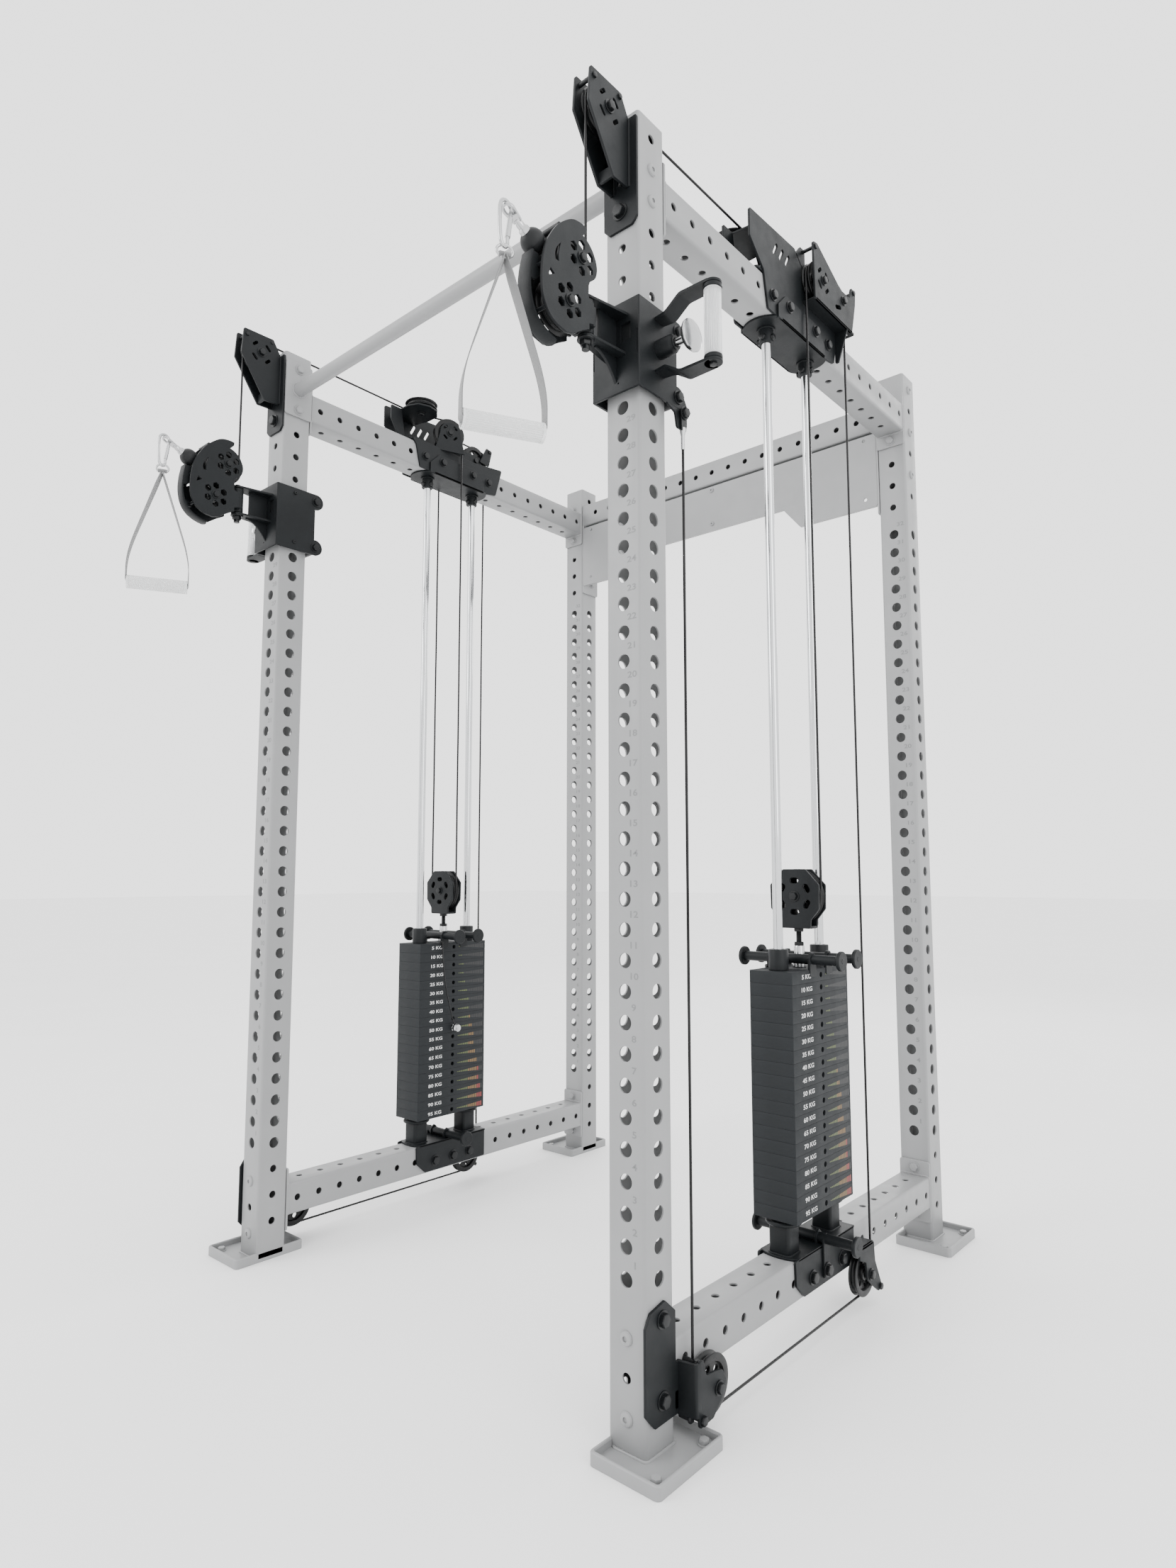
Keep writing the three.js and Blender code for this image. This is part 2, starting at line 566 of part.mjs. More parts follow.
// Plate bolted to the outer face of the front post, bent outwards to hold the floor pulley.
function floorBracket() {
  const out0 = X_OUT + GAP;
  const xEar = OUTER_X + EAR_OUT;
  const plate = plateX(out0, out0 + PLATE, [
    [6, 52], [-6, 64], [-6, 216], [3, 226], [40, 234], [54, 234], [73, 211], [73, 133], [84, 128], [84, 52],
  ]);
  const web = plateZ(50, 131, [
    [out0, 78], [xEar + PLATE, 86], [xEar + PLATE, 92], [out0 + PLATE, 84], [out0, 84],
  ]);
  const ear = plateX(xEar, xEar + PLATE, [
    [86, 131], [112, 133], [124, 106], [150, 104], [166, 92], [166, 64], [132, 34], [92, 34], [86, 50],
  ]);
  const tab = plateX(out0, out0 + PLATE, [[70, 60], [70, 88], [148, 88], [162, 74], [148, 60]]);
  const guard = bolt(AXIS.x, vec(xEar + PLATE, 98, 42), 7, 6);
  const bolts = [208, 87].map((z) => bolt(AXIS.x, vec(out0 + PLATE, 37.5, z), 11, 8));
  return join(plate, web, ear, outerAxle(FLOOR, out0 + 1, EAR_OUT), tab, guard, bolts);
}

// ---- weights ------------------------------------------------------------------------------------------
const STACK_X = [X_MID - STACK_W / 2, X_MID + STACK_W / 2];
const STACK_YS = [STACK_Y - STACK_D / 2, STACK_Y + STACK_D / 2];
const SPLIT_Z = STACK_TOP - LIFTED * WEIGHT_H;
const STEM_R = 11;
const PIN_HEIGHT = STACK_TOP - (LIFTED - 0.5) * WEIGHT_H;

const rodHoles = (z0, z1) => ROD_Y.map((y) => {
  return cylinder(AXIS.z, vec(X_MID, y, (z0 + z1) / 2), ROD_R + 2, z1 - z0 + 2, 12);
});

function restingWeights() {
  const block = box(...STACK_X, ...STACK_YS, STACK_LOW, SPLIT_Z - GAP);
  const stemHole = cylinder(AXIS.z, vec(X_MID, STACK_Y, 350), STEM_R + 2, 400, 12);
  return cut(block, rodHoles(STACK_LOW, SPLIT_Z), stemHole);
}

// The top plate with the first ten plates that the pin picks up, the selector stem below them, the two
// bushings, two band pegs on lugs, and the clevis that carries the lift pulley.
function liftedWeights() {
  const block = box(...STACK_X, ...STACK_YS, SPLIT_Z, STACK_TOP);
  const stem = cylinder(AXIS.z, vec(X_MID, STACK_Y, (SPLIT_Z + 262) / 2), STEM_R, SPLIT_Z - 262 + 4, 12);
  const bushings = ROD_Y.map((y) => cylinder(AXIS.z, vec(X_MID, y, STACK_TOP + 21), 20, 46, 16));
  const pegZ = STACK_TOP + 20;
  const pegs = [STACK_Y - 35, STACK_Y + 35].map((y) => peg(y, pegZ));
  const lugs = [STACK_Y - 35, STACK_Y + 35].flatMap((y) => [-1, 1].map((side) => {
    const x = X_MID + side * (STACK_W / 2 - 3);
    return box(x - 3, x + 3, y - 14, y + 14, STACK_TOP - 2, pegZ + 14);
  }));
  const adjuster = join(
    cylinder(AXIS.z, vec(X_MID, STACK_Y, STACK_TOP + 22), 12, 46, 10),
    cylinder(AXIS.z, vec(X_MID, STACK_Y, 772), 6, 70, 8),
    cylinder(AXIS.z, vec(X_MID, STACK_Y, 766), 11, 8, 6),
    cylinder(AXIS.z, vec(X_MID, STACK_Y, 794), 11, 8, 6),
  );
  const plateOutline = [
    [X_MID - 36, 797], [X_MID + 36, 797], [X_MID + 37, 815], [X_MID + 56, 838], [X_MID + 57, 888],
    [X_MID + 26, 921], [X_MID - 26, 921], [X_MID - 57, 888], [X_MID - 56, 838], [X_MID - 37, 815],
  ];
  const cheeks = [
    plateY(STACK_Y - EAR_MID - PLATE, STACK_Y - EAR_MID, plateOutline),
    plateY(STACK_Y + EAR_MID, STACK_Y + EAR_MID + PLATE, plateOutline),
  ];
  const foot = box(X_MID - 36, X_MID + 36, STACK_Y - EAR_MID - 1, STACK_Y + EAR_MID + 1, 797, 802);
  const body = join(block, stem, bushings, pegs, lugs, adjuster, cheeks, foot, axle(AXIS.y, LIFT, EAR_MID));
  const pinHole = cylinder(AXIS.x, vec(X_MID - 12, STACK_Y, PIN_HEIGHT), 5.6, 80, 12);
  return cut(body, rodHoles(SPLIT_Z - 10, STACK_TOP + 50), pinHole);
}

// Stored from the inner side of the stack: shaft in the pin hole, round knob outside.
function selectorPin() {
  const inner = X_MID - STACK_W / 2;
  return join(
    cylinder(AXIS.x, vec(inner + 30, STACK_Y, PIN_HEIGHT), 5, 62, 12),
    cylinder(AXIS.x, vec(inner - 6, STACK_Y, PIN_HEIGHT), 9, 11, 12),
    turned([[0, -24], [9, -22], [12, -16], [10, -8], [0, -6]], AXIS.x, vec(inner - 3, STACK_Y, PIN_HEIGHT), 12),
  );
}

// ---- carriage -----------------------------------------------------------------------------------------
function carriage() {
  const in0 = X_IN - CARRIAGE_SIDE;
  const out0 = X_OUT + CARRIAGE_SIDE;
  const back = -CARRIAGE_FRONT;
  const low = CARRIAGE_LOW;
  const top = CARRIAGE_TOP;
  // Both side plates have a round lobe behind the post for each roller.
  const side = [
    [back - PLATE, low], [80, low], [97, low + 3], [110, low + 11], [113, low + 22], [108, low + 33],
    [95, low + 41], [89, low + 45], [89, top - 42], [95, top - 40], [108, top - 33], [113, top - 20],
    [108, top - 8], [95, top - 1], [85, top], [back - PLATE, top],
  ];
  const tail = [
    [62, low + 5], [62, low - 2], [84, 1726], [92, 1700], [116, 1700], [120, 1748], [108, 1764], [80, 1764],
  ];
  const windows = [543, 589].map((x) => box(x, x + 22, back - 10, back + 5, 1824, 1856));
  const face = box(in0 - PLATE, out0 + PLATE, back - PLATE, back, low, top);
  const front = cut(face, windows);
  const rollers = [CARRIAGE_LOW + 20, CARRIAGE_TOP - 20].map((z) => {
    return cylinder(AXIS.x, vec(X_MID, TUBE + 16.5, z), 14, out0 - in0 + 4, 12);
  });
  const rollerBolts = [CARRIAGE_LOW + 20, CARRIAGE_TOP - 20].flatMap((z) => [
    bolt(vec(-1, 0, 0), vec(in0 - PLATE, TUBE + 16.5, z), 11, 7),
    bolt(AXIS.x, vec(out0 + PLATE, TUBE + 16.5, z), 11, 7),
  ]);
  // Fork that the two horizontal arms make for the swivel head, with a pivot stub in each.
  const armOutline = [
    [X_MID - 24, back - 1], ...arc(X_MID, CABLE_Y, 14, 170, 370, 6), [X_MID + 24, back - 1],
  ];
  const arms = [plateZ(1867, 1872, armOutline), plateZ(1799, 1804, armOutline)];
  const web = plateX(X_MID - 2.5, X_MID + 2.5, [[back - 1, 1869], [-68, 1869], [-68, 1802], [back - 1, 1802]]);
  const rib = plateX(X_MID - 2.5, X_MID + 2.5, [[back - 1, 1801], [-76, 1801], [-44, 1790], [back - 1, 1754]]);
  const stubs = [
    cylinder(AXIS.z, vec(X_MID, CABLE_Y, 1862), 6, 28, 10),
    cylinder(AXIS.z, vec(X_MID, CABLE_Y, 1873.5), 8, 5, 6),
    cylinder(AXIS.z, vec(X_MID, CABLE_Y, 1803), 6, 40, 10),
    cylinder(AXIS.z, vec(X_MID, CABLE_Y, 1794), 12, 12, 6),
  ];
  const barrel = cut(
    cylinder(AXIS.x, vec(BARREL_END - 21.25, TUBE / 2, PIN_Z), 16.5, 42.5),
    cylinder(AXIS.x, vec(BARREL_END - 21.25, TUBE / 2, PIN_Z), 8, 120),
  );
  const pinWay = cylinder(AXIS.x, vec(out0, TUBE / 2, PIN_Z), 8, 60);
  // The pull handle: two bent flat arms with a round grip between them.
  const gripX = 741;
  const strap = (z, bend) => plateY(TUBE / 2 - 17, TUBE / 2 + 17, [
    [out0 + 1, z - 2.5], [out0 + 28, z - 2.5], [out0 + 59, z - 2.5 + bend], [gripX + 16, z - 2.5 + bend],
    [gripX + 16, z + 2.5 + bend], [out0 + 59, z + 2.5 + bend], [out0 + 28, z + 2.5], [out0 + 1, z + 2.5],
  ]);
  const straps = [strap(1872, 22), strap(1776, -20)];
  const grip = join(
    cylinder(AXIS.z, vec(gripX, TUBE / 2, 1825), 15, 134),
    cylinder(AXIS.z, vec(gripX, TUBE / 2, 1825), 5, 146, 8),
  );
  // Cable anchor: bolt through the tail of the outer plate, fork and swaged terminal on the cable line.
  const anchorY = FLOOR.y - LOW_R;
  const anchor = join(
    cylinder(AXIS.x, vec(OUTER_X, anchorY, 1729), 6, 22, 8),
    box(OUTER_X - 4, OUTER_X + 4, anchorY - 8, anchorY + 8, 1690, 1742),
    cylinder(AXIS.z, vec(OUTER_X, anchorY, (1692 + TERMINAL_Z) / 2), 4.5, 1692 - TERMINAL_Z, 8),
  );
  const body = join(
    front, plateX(in0 - PLATE, in0, side), plateX(out0, out0 + PLATE, side), plateX(out0, out0 + PLATE, tail),
    rollers, rollerBolts, arms, web, rib, stubs, barrel, straps, grip, anchor,
  );
  return cut(body, pinWay);
}

// The retractable pin: its tip ends flush with the inside of the sleeve.
function pullPin() {
  const start = X_OUT + 0.6;
  return join(
    cylinder(AXIS.x, vec(start + 37.5, TUBE / 2, PIN_Z), 7.5, 75, 12),
    turned([[0, 0], [16, 0], [27, 6], [28, 11], [20, 15], [0, 17]], AXIS.x, vec(start + 73, TUBE / 2, PIN_Z)),
  );
}

// Swivel head: two kidney plates round the arm pulleys, a curved rim guard and a hinge barrel.
function armHead() {
  const outline = [
    [-124, 1969], [-148, 1968], [-176, 1959], [-198, 1939], [-214, 1909], [-226, 1870], [-231, 1822],
    [-224, 1790], [-206, 1768], [-178, 1764], [-140, 1778], [-119, 1796], [-119, 1807], [-107, 1809],
    [-107, 1846], [-120, 1858], [-120, 1868], [-115, 1877], [-99, 1904], [-99, 1916], [-104, 1934],
    [-120, 1946], [-136, 1953],
  ];
  const plates = [
    plateX(X_MID + EAR_HEAD, X_MID + EAR_HEAD + PLATE, outline),
    plateX(X_MID - EAR_HEAD - PLATE, X_MID - EAR_HEAD, outline),
  ];
  const hinge = join(
    cylinder(AXIS.z, vec(X_MID, CABLE_Y, 1835.5), 14, 61),
    box(X_MID - EAR_HEAD - 1, X_MID + EAR_HEAD + 1, -124, CABLE_Y, 1810, 1846),
  );
  const hingeBore = cylinder(AXIS.z, vec(X_MID, CABLE_Y, 1833), 7, 80, 10);
  const lowClear = cylinder(AXIS.x, vec(X_MID, HEAD_LOW.y, HEAD_LOW.z), FRONT_R + 8, 2 * EAR_HEAD - 0.2);
  const guard = plateX(X_MID - EAR_HEAD - 1, X_MID + EAR_HEAD + 1, [
    [-231, 1822], [-224, 1790], [-206, 1768], [-178, 1764], [-176, 1769], [-204, 1773], [-219, 1793],
    [-226, 1822],
  ]);
  const spacer = cylinder(AXIS.x, vec(X_MID, -186, 1944), 5, 2 * EAR_HEAD + 2, 8);
  const up = vec(X_MID, HEAD_UP.y, HEAD_UP.z);
  const low = vec(X_MID, HEAD_LOW.y, HEAD_LOW.z);
  const hingeClear = cut(hinge, lowClear, hingeBore);
  return join(plates, hingeClear, guard, spacer, axle(AXIS.x, up, EAR_HEAD), axle(AXIS.x, low, EAR_HEAD));
}

// ---- handle -------------------------------------------------------------------------------------------
// A closed ring of round bar: a centre, two unit directions and the half-length along each.
function barRing(centre, u, v, halfU, halfV, barR, steps) {
  const points = [];
  for (let i = 0; i < steps; i++) {
    const angle = (2 * i * Math.PI) / steps;
    points.push(centre.clone()
      .addScaledVector(u, halfU * Math.cos(angle))
      .addScaledVector(v, halfV * Math.sin(angle)));
  }
  const path = new THREE.CatmullRomCurve3(points, true, 'centripetal');
  const settings = { steps, bevelEnabled: false, extrudePath: path };
  return solid(new THREE.ExtrudeGeometry(roundSection(barR, 6), settings));
}

const alongExit = (reach) => BALL.clone().addScaledVector(EXIT_DIR, reach);
const EYE_HALF = 11;
const EYE_BAR = 3;
const EYE_END = alongExit(66);
const HOOK_BAR = 3.4;
const HOOK_HALF_Y = 12;
const HOOK_HALF_Z = 38;
const HOOK_CENTRE = EYE_END.clone().add(vec(0, 0, EYE_BAR + HOOK_BAR + 1.2 - HOOK_HALF_Z));

// The rubber ball that stops the cable at the head, a swivel and an eye.
function cableEnd() {
  const ball = solid(new THREE.SphereGeometry(BALL_R, 12, 7).translate(BALL.x, BALL.y, BALL.z));
  const eyeCentre = alongExit(66 - EYE_HALF);
  const neckEnd = 66 - 2 * EYE_HALF;
  const neck = cylinder(EXIT_DIR, alongExit((BALL_R - 2 + neckEnd) / 2), 6, neckEnd - BALL_R + 3, 10);
  const collar = cylinder(EXIT_DIR, alongExit(BALL_R + 4), 9, 11, 12);
  return join(ball, collar, neck, barRing(eyeCentre, EXIT_DIR, AXIS.x, EYE_HALF, EYE_HALF, EYE_BAR, 16));
}

// The carabiner in the eye, and below it a web strap that runs over both ends of a round grip.
function strapHandle(turn) {
  const apexZ = HOOK_CENTRE.z - HOOK_HALF_Z;
  const half = GRIP_LEN / 2;
  const width = 12;
  const outer = [
    [-7, apexZ + 6], [-half - 3, GRIP_Z + 20], [-half - 3, GRIP_Z - 15], [half + 3, GRIP_Z - 15],
    [half + 3, GRIP_Z + 20], [7, apexZ + 6],
  ];
  const inner = [[0, apexZ - 14], [-half, GRIP_Z + 20], [-half, GRIP_Z], [half, GRIP_Z], [half, GRIP_Z + 20]];
  const strap = cut(plateY(-width, width, outer), plateY(-width - 1, width + 1, inner));
  const grip = cylinder(AXIS.x, vec(0, 0, GRIP_Z), 15.5, GRIP_LEN + 2);
  const mesh = join(strap, grip).getMesh();
  const geometry = new THREE.BufferGeometry();
  geometry.setAttribute('position', new THREE.BufferAttribute(Float32Array.from(mesh.vertProperties), 3));
  geometry.setIndex(Array.from(mesh.triVerts));
  geometry.rotateZ(turn).translate(X_MID, HOOK_CENTRE.y, 0);
  const carabiner = barRing(HOOK_CENTRE, AXIS.y, AXIS.z, HOOK_HALF_Y, HOOK_HALF_Z, HOOK_BAR, 20);
  return join(solid(geometry), carabiner);
}

// ---- assembly -----------------------------------------------------------------------------------------
for (const [side, mirror] of [['R', 1], ['L', -1]]) {
  const add = (name, piece, material) => place(`${name}_${side}`, piece, material, mirror);
  add('upright_front', upright(0), GREY_PAINT);
  add('upright_rear', upright(Y_BACK), GREY_PAINT);
  add('side_beam_top', sideBeam(TOP_BEAM_Z), GREY_PAINT);
  add('side_beam_low', sideBeam(LOW_BEAM_Z), GREY_PAINT);

  add('top_front_bracket', topFrontBracket(), BLACK_PAINT);
  add('top_front_pulley', pulley(AXIS.x, TOP_FRONT, FRONT_R), BLACK_PLASTIC);
  add('top_mid_bracket', topMidBracket(), BLACK_PAINT);
  add('turn_pulley', pulley(AXIS.z, TURN, MID_R), BLACK_PLASTIC);
  add('drop_pulley', pulley(SLANT_AXIS, DROP, MID_R), BLACK_PLASTIC);
  add('over_pulley_front', pulley(AXIS.x, OVER_FRONT, MID_R), BLACK_PLASTIC);
  add('over_pulley_rear', pulley(AXIS.x, OVER_REAR, MID_R), BLACK_PLASTIC);
  for (const [i, y] of ROD_Y.entries()) {
    const rod = cylinder(AXIS.z, vec(X_MID, y, (188 + 2086) / 2), ROD_R, 2086 - 188, 16);
    add(i ? 'guide_rod_rear' : 'guide_rod_front', rod, CHROME);
  }
  add('base_bracket', baseBracket(), BLACK_PAINT);
  add('base_pulley', pulley(AXIS.x, BASE, LOW_R), BLACK_PLASTIC);
  add('floor_bracket', floorBracket(), BLACK_PAINT);
  add('floor_pulley', pulley(AXIS.x, FLOOR, LOW_R), BLACK_PLASTIC);

  add('weights_resting', restingWeights(), WEIGHT_PAINT);
  add('weights_lifted', liftedWeights(), WEIGHT_PAINT);
  add('lift_pulley', pulley(AXIS.y, LIFT, LIFT_R), BLACK_PLASTIC);
  add('selector_pin', selectorPin(), CHROME);

  add('carriage', carriage(), BLACK_PAINT);
  add('pull_pin', pullPin(), CHROME);
  add('arm_head', armHead(), BLACK_PAINT);
  add('arm_pulley_upper', pulley(AXIS.x, vec(X_MID, HEAD_UP.y, HEAD_UP.z), FRONT_R), BLACK_PLASTIC);
  add('arm_pulley_lower', pulley(AXIS.x, vec(X_MID, HEAD_LOW.y, HEAD_LOW.z), FRONT_R), BLACK_PLASTIC);
  add('cable', cable(), BLACK_PLASTIC);
  add('cable_end', cableEnd(), RUBBER);
  add('strap_handle', strapHandle(mirror * GRIP_TURN), WEBBING);
}
place('pull_up_bar', pullUpBar(), GREY_PAINT);
place('rear_cross_member', rearCrossMember(), GREY_PAINT);

const bounds = new THREE.Box3().setFromObject(group);
group.position.set(0, -(bounds.min.y + bounds.max.y) / 2, 0);
group.updateMatrixWorld(true);

export default group;
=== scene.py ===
import bmesh
import bpy
import math
from mathutils import Matrix, Vector


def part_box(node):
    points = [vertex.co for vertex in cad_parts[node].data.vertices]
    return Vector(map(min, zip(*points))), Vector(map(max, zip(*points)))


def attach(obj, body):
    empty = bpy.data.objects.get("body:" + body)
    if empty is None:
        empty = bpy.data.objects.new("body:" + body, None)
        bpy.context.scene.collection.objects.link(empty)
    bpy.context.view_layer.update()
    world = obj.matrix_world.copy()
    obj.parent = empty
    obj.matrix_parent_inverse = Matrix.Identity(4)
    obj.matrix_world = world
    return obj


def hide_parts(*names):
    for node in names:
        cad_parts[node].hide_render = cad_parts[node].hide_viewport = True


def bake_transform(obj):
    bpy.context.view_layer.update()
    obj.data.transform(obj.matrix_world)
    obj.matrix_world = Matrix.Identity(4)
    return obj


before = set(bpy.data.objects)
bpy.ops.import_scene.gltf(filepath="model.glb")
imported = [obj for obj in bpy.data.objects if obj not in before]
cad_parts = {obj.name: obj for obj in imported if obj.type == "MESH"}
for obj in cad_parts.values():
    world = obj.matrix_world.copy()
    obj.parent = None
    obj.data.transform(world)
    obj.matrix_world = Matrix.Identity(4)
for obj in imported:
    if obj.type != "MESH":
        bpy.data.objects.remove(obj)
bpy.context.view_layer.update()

# ---- places in millimetres on the rack's own grid, whose zero is the middle, the front and the floor -------
ROD_Y = (498.0, 674.0)
rod_low, rod_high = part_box("guide_rod_front_R")
SHIFT_Y = (rod_low.y + rod_high.y) / 2 * 1000 - ROD_Y[0]
MM = 0.001

X_IN, X_OUT, X_MID = 540.0, 615.0, 577.5
TUBE, WALL, GAP = 75.0, 3.0, 0.3
POST_Y = TUBE / 2
OUT0, IN0 = X_OUT + GAP, X_IN - GAP
Y_BACK, RACK_D, RACK_H = 1155.0, 1230.0, 2261.0
TOP_Z, LOW_Z, BAR_Z = 2134.5, 125.5, 2165.0
CABLE_R, AXLE_R = 2.5, 7.6
TOP_RUN_Z = 2276.0
HINGE_Y = -98.0
STACK_Y = 585.0
OUTER_X, INNER_X = 631.0, 524.0
EAR_X = OUTER_X + 16
MID_R, ARM_R, LOW_R = 43.0, 40.0, 44.0
FRONT_AXLE = (-58.0, 2236.0)
OVER_FRONT, OVER_REAR = (STACK_Y + MID_R, 2240.0), (727.0, 2240.0)
BASE_AXLE, FLOOR_AXLE = (726.0, 74.0), (148.0, 74.0)
HEAD_UP, HEAD_LOW = (-138.0, 1910.0), (-167.0, 1823.0)
LIFT_Z, LIFT_R = 864.0, 53.5
PIN_Z = 1820.0
ANCHOR_Y = 104.0
SIDE_GRIP = (741.0, POST_Y)
EXIT_TILT = math.radians(24)

X, Y, Z = Vector((1, 0, 0)), Vector((0, 1, 0)), Vector((0, 0, 1))
TURN = Vector((X_MID - MID_R, 436, TOP_RUN_Z))
reach_drop = math.hypot(INNER_X - TURN.x, STACK_Y - TURN.y)
SLANT = math.atan2(TURN.x - INNER_X, STACK_Y - TURN.y) + math.asin(MID_R / reach_drop)
SLANT_DIR = Vector((-math.sin(SLANT), math.cos(SLANT), 0))
SLANT_AXIS = Vector((math.cos(SLANT), math.sin(SLANT), 0))
DROP = Vector((INNER_X, STACK_Y, TOP_RUN_Z - MID_R)) - SLANT_DIR * MID_R
EXIT_DIR = Vector((0, -math.cos(EXIT_TILT), math.sin(EXIT_TILT)))
EXIT = Vector((X_MID, HEAD_UP[0] - ARM_R * math.sin(EXIT_TILT), HEAD_UP[1] - ARM_R * math.cos(EXIT_TILT)))
BALL = EXIT + EXIT_DIR * 77
BALL_R = 20.0
EYE_END = BALL + EXIT_DIR * 66
HOOK = EYE_END + Vector((0, 0, 3 + 3.4 + 1.2 - 38))
GRIP_Z, GRIP_LEN = 1577.0, 128.0
GRIP_DIR = Vector((math.cos(math.radians(63)), math.sin(math.radians(63)), 0))


# ---- materials -------------------------------------------------------------------------------------------
class Nodes:
    """Builds one node material around its Principled shader."""

    def __init__(self, name, color, rough, metal=0.0):
        self.mat = bpy.data.materials.new(name)
        self.mat.use_nodes = True
        self.tree = self.mat.node_tree
        self.shader = self.tree.nodes["Principled BSDF"]
        self.set("Base Color", (*color, 1))
        self.set("Roughness", rough)
        self.set("Metallic", metal)
        self.mat.diffuse_color = (*color, 1)
        self.place = self.tree.nodes.new("ShaderNodeTexCoord").outputs["Object"]
        self.color, self.rough = color, rough

    def set(self, socket, value):
        self.shader.inputs[socket].default_value = value

    def link(self, a, b):
        self.tree.links.new(a, b)

    def node(self, kind, **values):
        node = self.tree.nodes.new("ShaderNode" + kind)
        for socket, value in values.items():
            node.inputs[socket].default_value = value
        return node

    def noise(self, scale, detail, stretch=None):
        node = self.node("TexNoise", Scale=scale, Detail=detail, Roughness=0.55)
        place = self.place
        if stretch:
            mapping = self.node("Mapping", Scale=stretch)
            self.link(place, mapping.inputs["Vector"])
            place = mapping.outputs["Vector"]
        self.link(place, node.inputs["Vector"])
        return node.outputs["Fac"]

    def ramp(self, source, low, high, socket):
        """Runs a socket from low to high over the middle of a source."""
        node = self.node("ValToRGB")
        for element, at, value in zip(node.color_ramp.elements, (0.3, 0.7), (low, high)):
            element.position = at
            element.color = (*value, 1)
        self.link(source, node.inputs["Fac"])
        self.link(node.outputs["Color"], self.shader.inputs[socket])

    def tint(self, source, spread):
        low, high = (tuple(min(1.0, c * share) for c in self.color) for share in (1 - spread, 1 + spread))
        self.ramp(source, low, high, "Base Color")

    def gloss(self, source, spread):
        low, high = max(0.02, self.rough - spread), min(1.0, self.rough + spread)
        self.ramp(source, (low,) * 3, (high,) * 3, "Roughness")

    def bump(self, *layers):
        """layers are (height output, distance in metres, strength)."""
        last = None
        for source, distance, strength in layers:
            node = self.node("Bump", Distance=distance, Strength=strength)
            self.link(source, node.inputs["Height"])
            if last:
                self.link(last, node.inputs["Normal"])
            last = node.outputs["Normal"]
        self.link(last, self.shader.inputs["Normal"])


def look(name, color, rough, tint, gloss, bumps, metal=0.0, sockets=()):
    """tint and gloss are (noise, spread), a bump is (noise, distance, strength), noise is (scale, detail)."""
    m = Nodes(name, color, rough, metal)
    for socket, value in sockets:
        m.set(socket, value)
    m.tint(m.noise(*tint[0]), tint[1])
    if gloss:
        m.gloss(m.noise(*gloss[0]), gloss[1])
    m.bump(*((m.noise(*layer), distance, strength) for layer, distance, strength in bumps))
    return m.mat


def painted(name, color, rough, grain, depth, spread, shine):
    bumps = [((grain, 2), 0.0003, depth), ((70, 3), 0.0006, depth * 0.4)]
    return look(name, color, rough, ((9, 5), spread), ((26, 5), 0.06), bumps,
                sockets=[("Specular IOR Level", shine)])


def chrome(name, rough, color, stretch):
    return look(name, color, rough, ((8, 3), 0.03), ((40, 3, stretch), rough * 0.6),
                [((90, 2, stretch), 0.0001, 0.05)], 1.0)


def clear_grip(name, color, rough, through):
    return look(name, color, rough, ((20, 3), 0.03), ((60, 3), 0.06), [((300, 2), 0.0002, 0.1)],
                sockets=[("Transmission Weight", through), ("IOR", 1.45)])


def webbing():
    m = Nodes("web_strap", (0.165, 0.167, 0.169), 0.85)
    m.set("Sheen Weight", 0.35)
    uv = m.node("UVMap")
    waves = []
    for turn, scale in ((0, 520.0), (math.pi / 2, 300.0)):
        mapping = m.node("Mapping", Rotation=(0, 0, turn))
        m.link(uv.outputs["UV"], mapping.inputs["Vector"])
        wave = m.node("TexWave", Scale=scale, Distortion=0.6, Detail=1.0)
        m.link(mapping.outputs["Vector"], wave.inputs["Vector"])
        waves.append(wave.outputs["Fac"])
    m.tint(waves[0], 0.10)
    m.bump((waves[0], 0.0006, 0.5), (waves[1], 0.0005, 0.35), (m.noise(700, 2), 0.0003, 0.3))
    return m.mat


def ink(name, color):
    return look(name, color, 0.5, ((200, 3), 0.08), None, [((900, 2), 0.0001, 0.2)])


FRAME_PAINT = painted("frame_paint", (0.236, 0.239, 0.242), 0.42, 900, 0.16, 0.03, 0.4)
BLACK_PAINT = painted("bracket_paint", (0.0062, 0.0074, 0.0083), 0.44, 1300, 0.5, 0.2, 0.17)
WEIGHT_PAINT = painted("weight_paint", (0.0105, 0.0123, 0.0138), 0.58, 800, 0.8, 0.16, 0.19)
BOLT_BLACK = painted("bolt_black", (0.005, 0.0058, 0.0065), 0.32, 1500, 0.3, 0.2, 0.24)
RUBBER = painted("stop_rubber", (0.0060, 0.0068, 0.0075), 0.5, 600, 0.35, 0.15, 0.24)
NYLON = look("pulley_nylon", (0.0048, 0.0052, 0.0056), 0.34, ((14, 3), 0.2), ((60, 4), 0.09),
             [((500, 2), 0.0002, 0.18)], sockets=[("Specular IOR Level", 0.25)])
CHROME = chrome("rod_chrome", 0.10, (0.58, 0.59, 0.60), (40, 40, 1))
STEEL = chrome("pin_steel", 0.24, (0.46, 0.465, 0.47), (1, 1, 1))
SHEATH = look("cable_sheath", (0.0045, 0.0045, 0.005), 0.3, ((30, 2), 0.2), ((120, 3), 0.08),
              [((400, 2, (1, 1, 0.2)), 0.0002, 0.25)], sockets=[("Specular IOR Level", 0.25)])
CLEAR = clear_grip("clear_grip", (0.90, 0.91, 0.92), 0.14, 0.55)
FROST = clear_grip("frosted_grip", (0.90, 0.91, 0.91), 0.26, 0.4)
WEB = webbing()
LABEL = ink("label_white", (0.52, 0.52, 0.52))
NUMBER = ink("number_grey", (0.145, 0.148, 0.151))
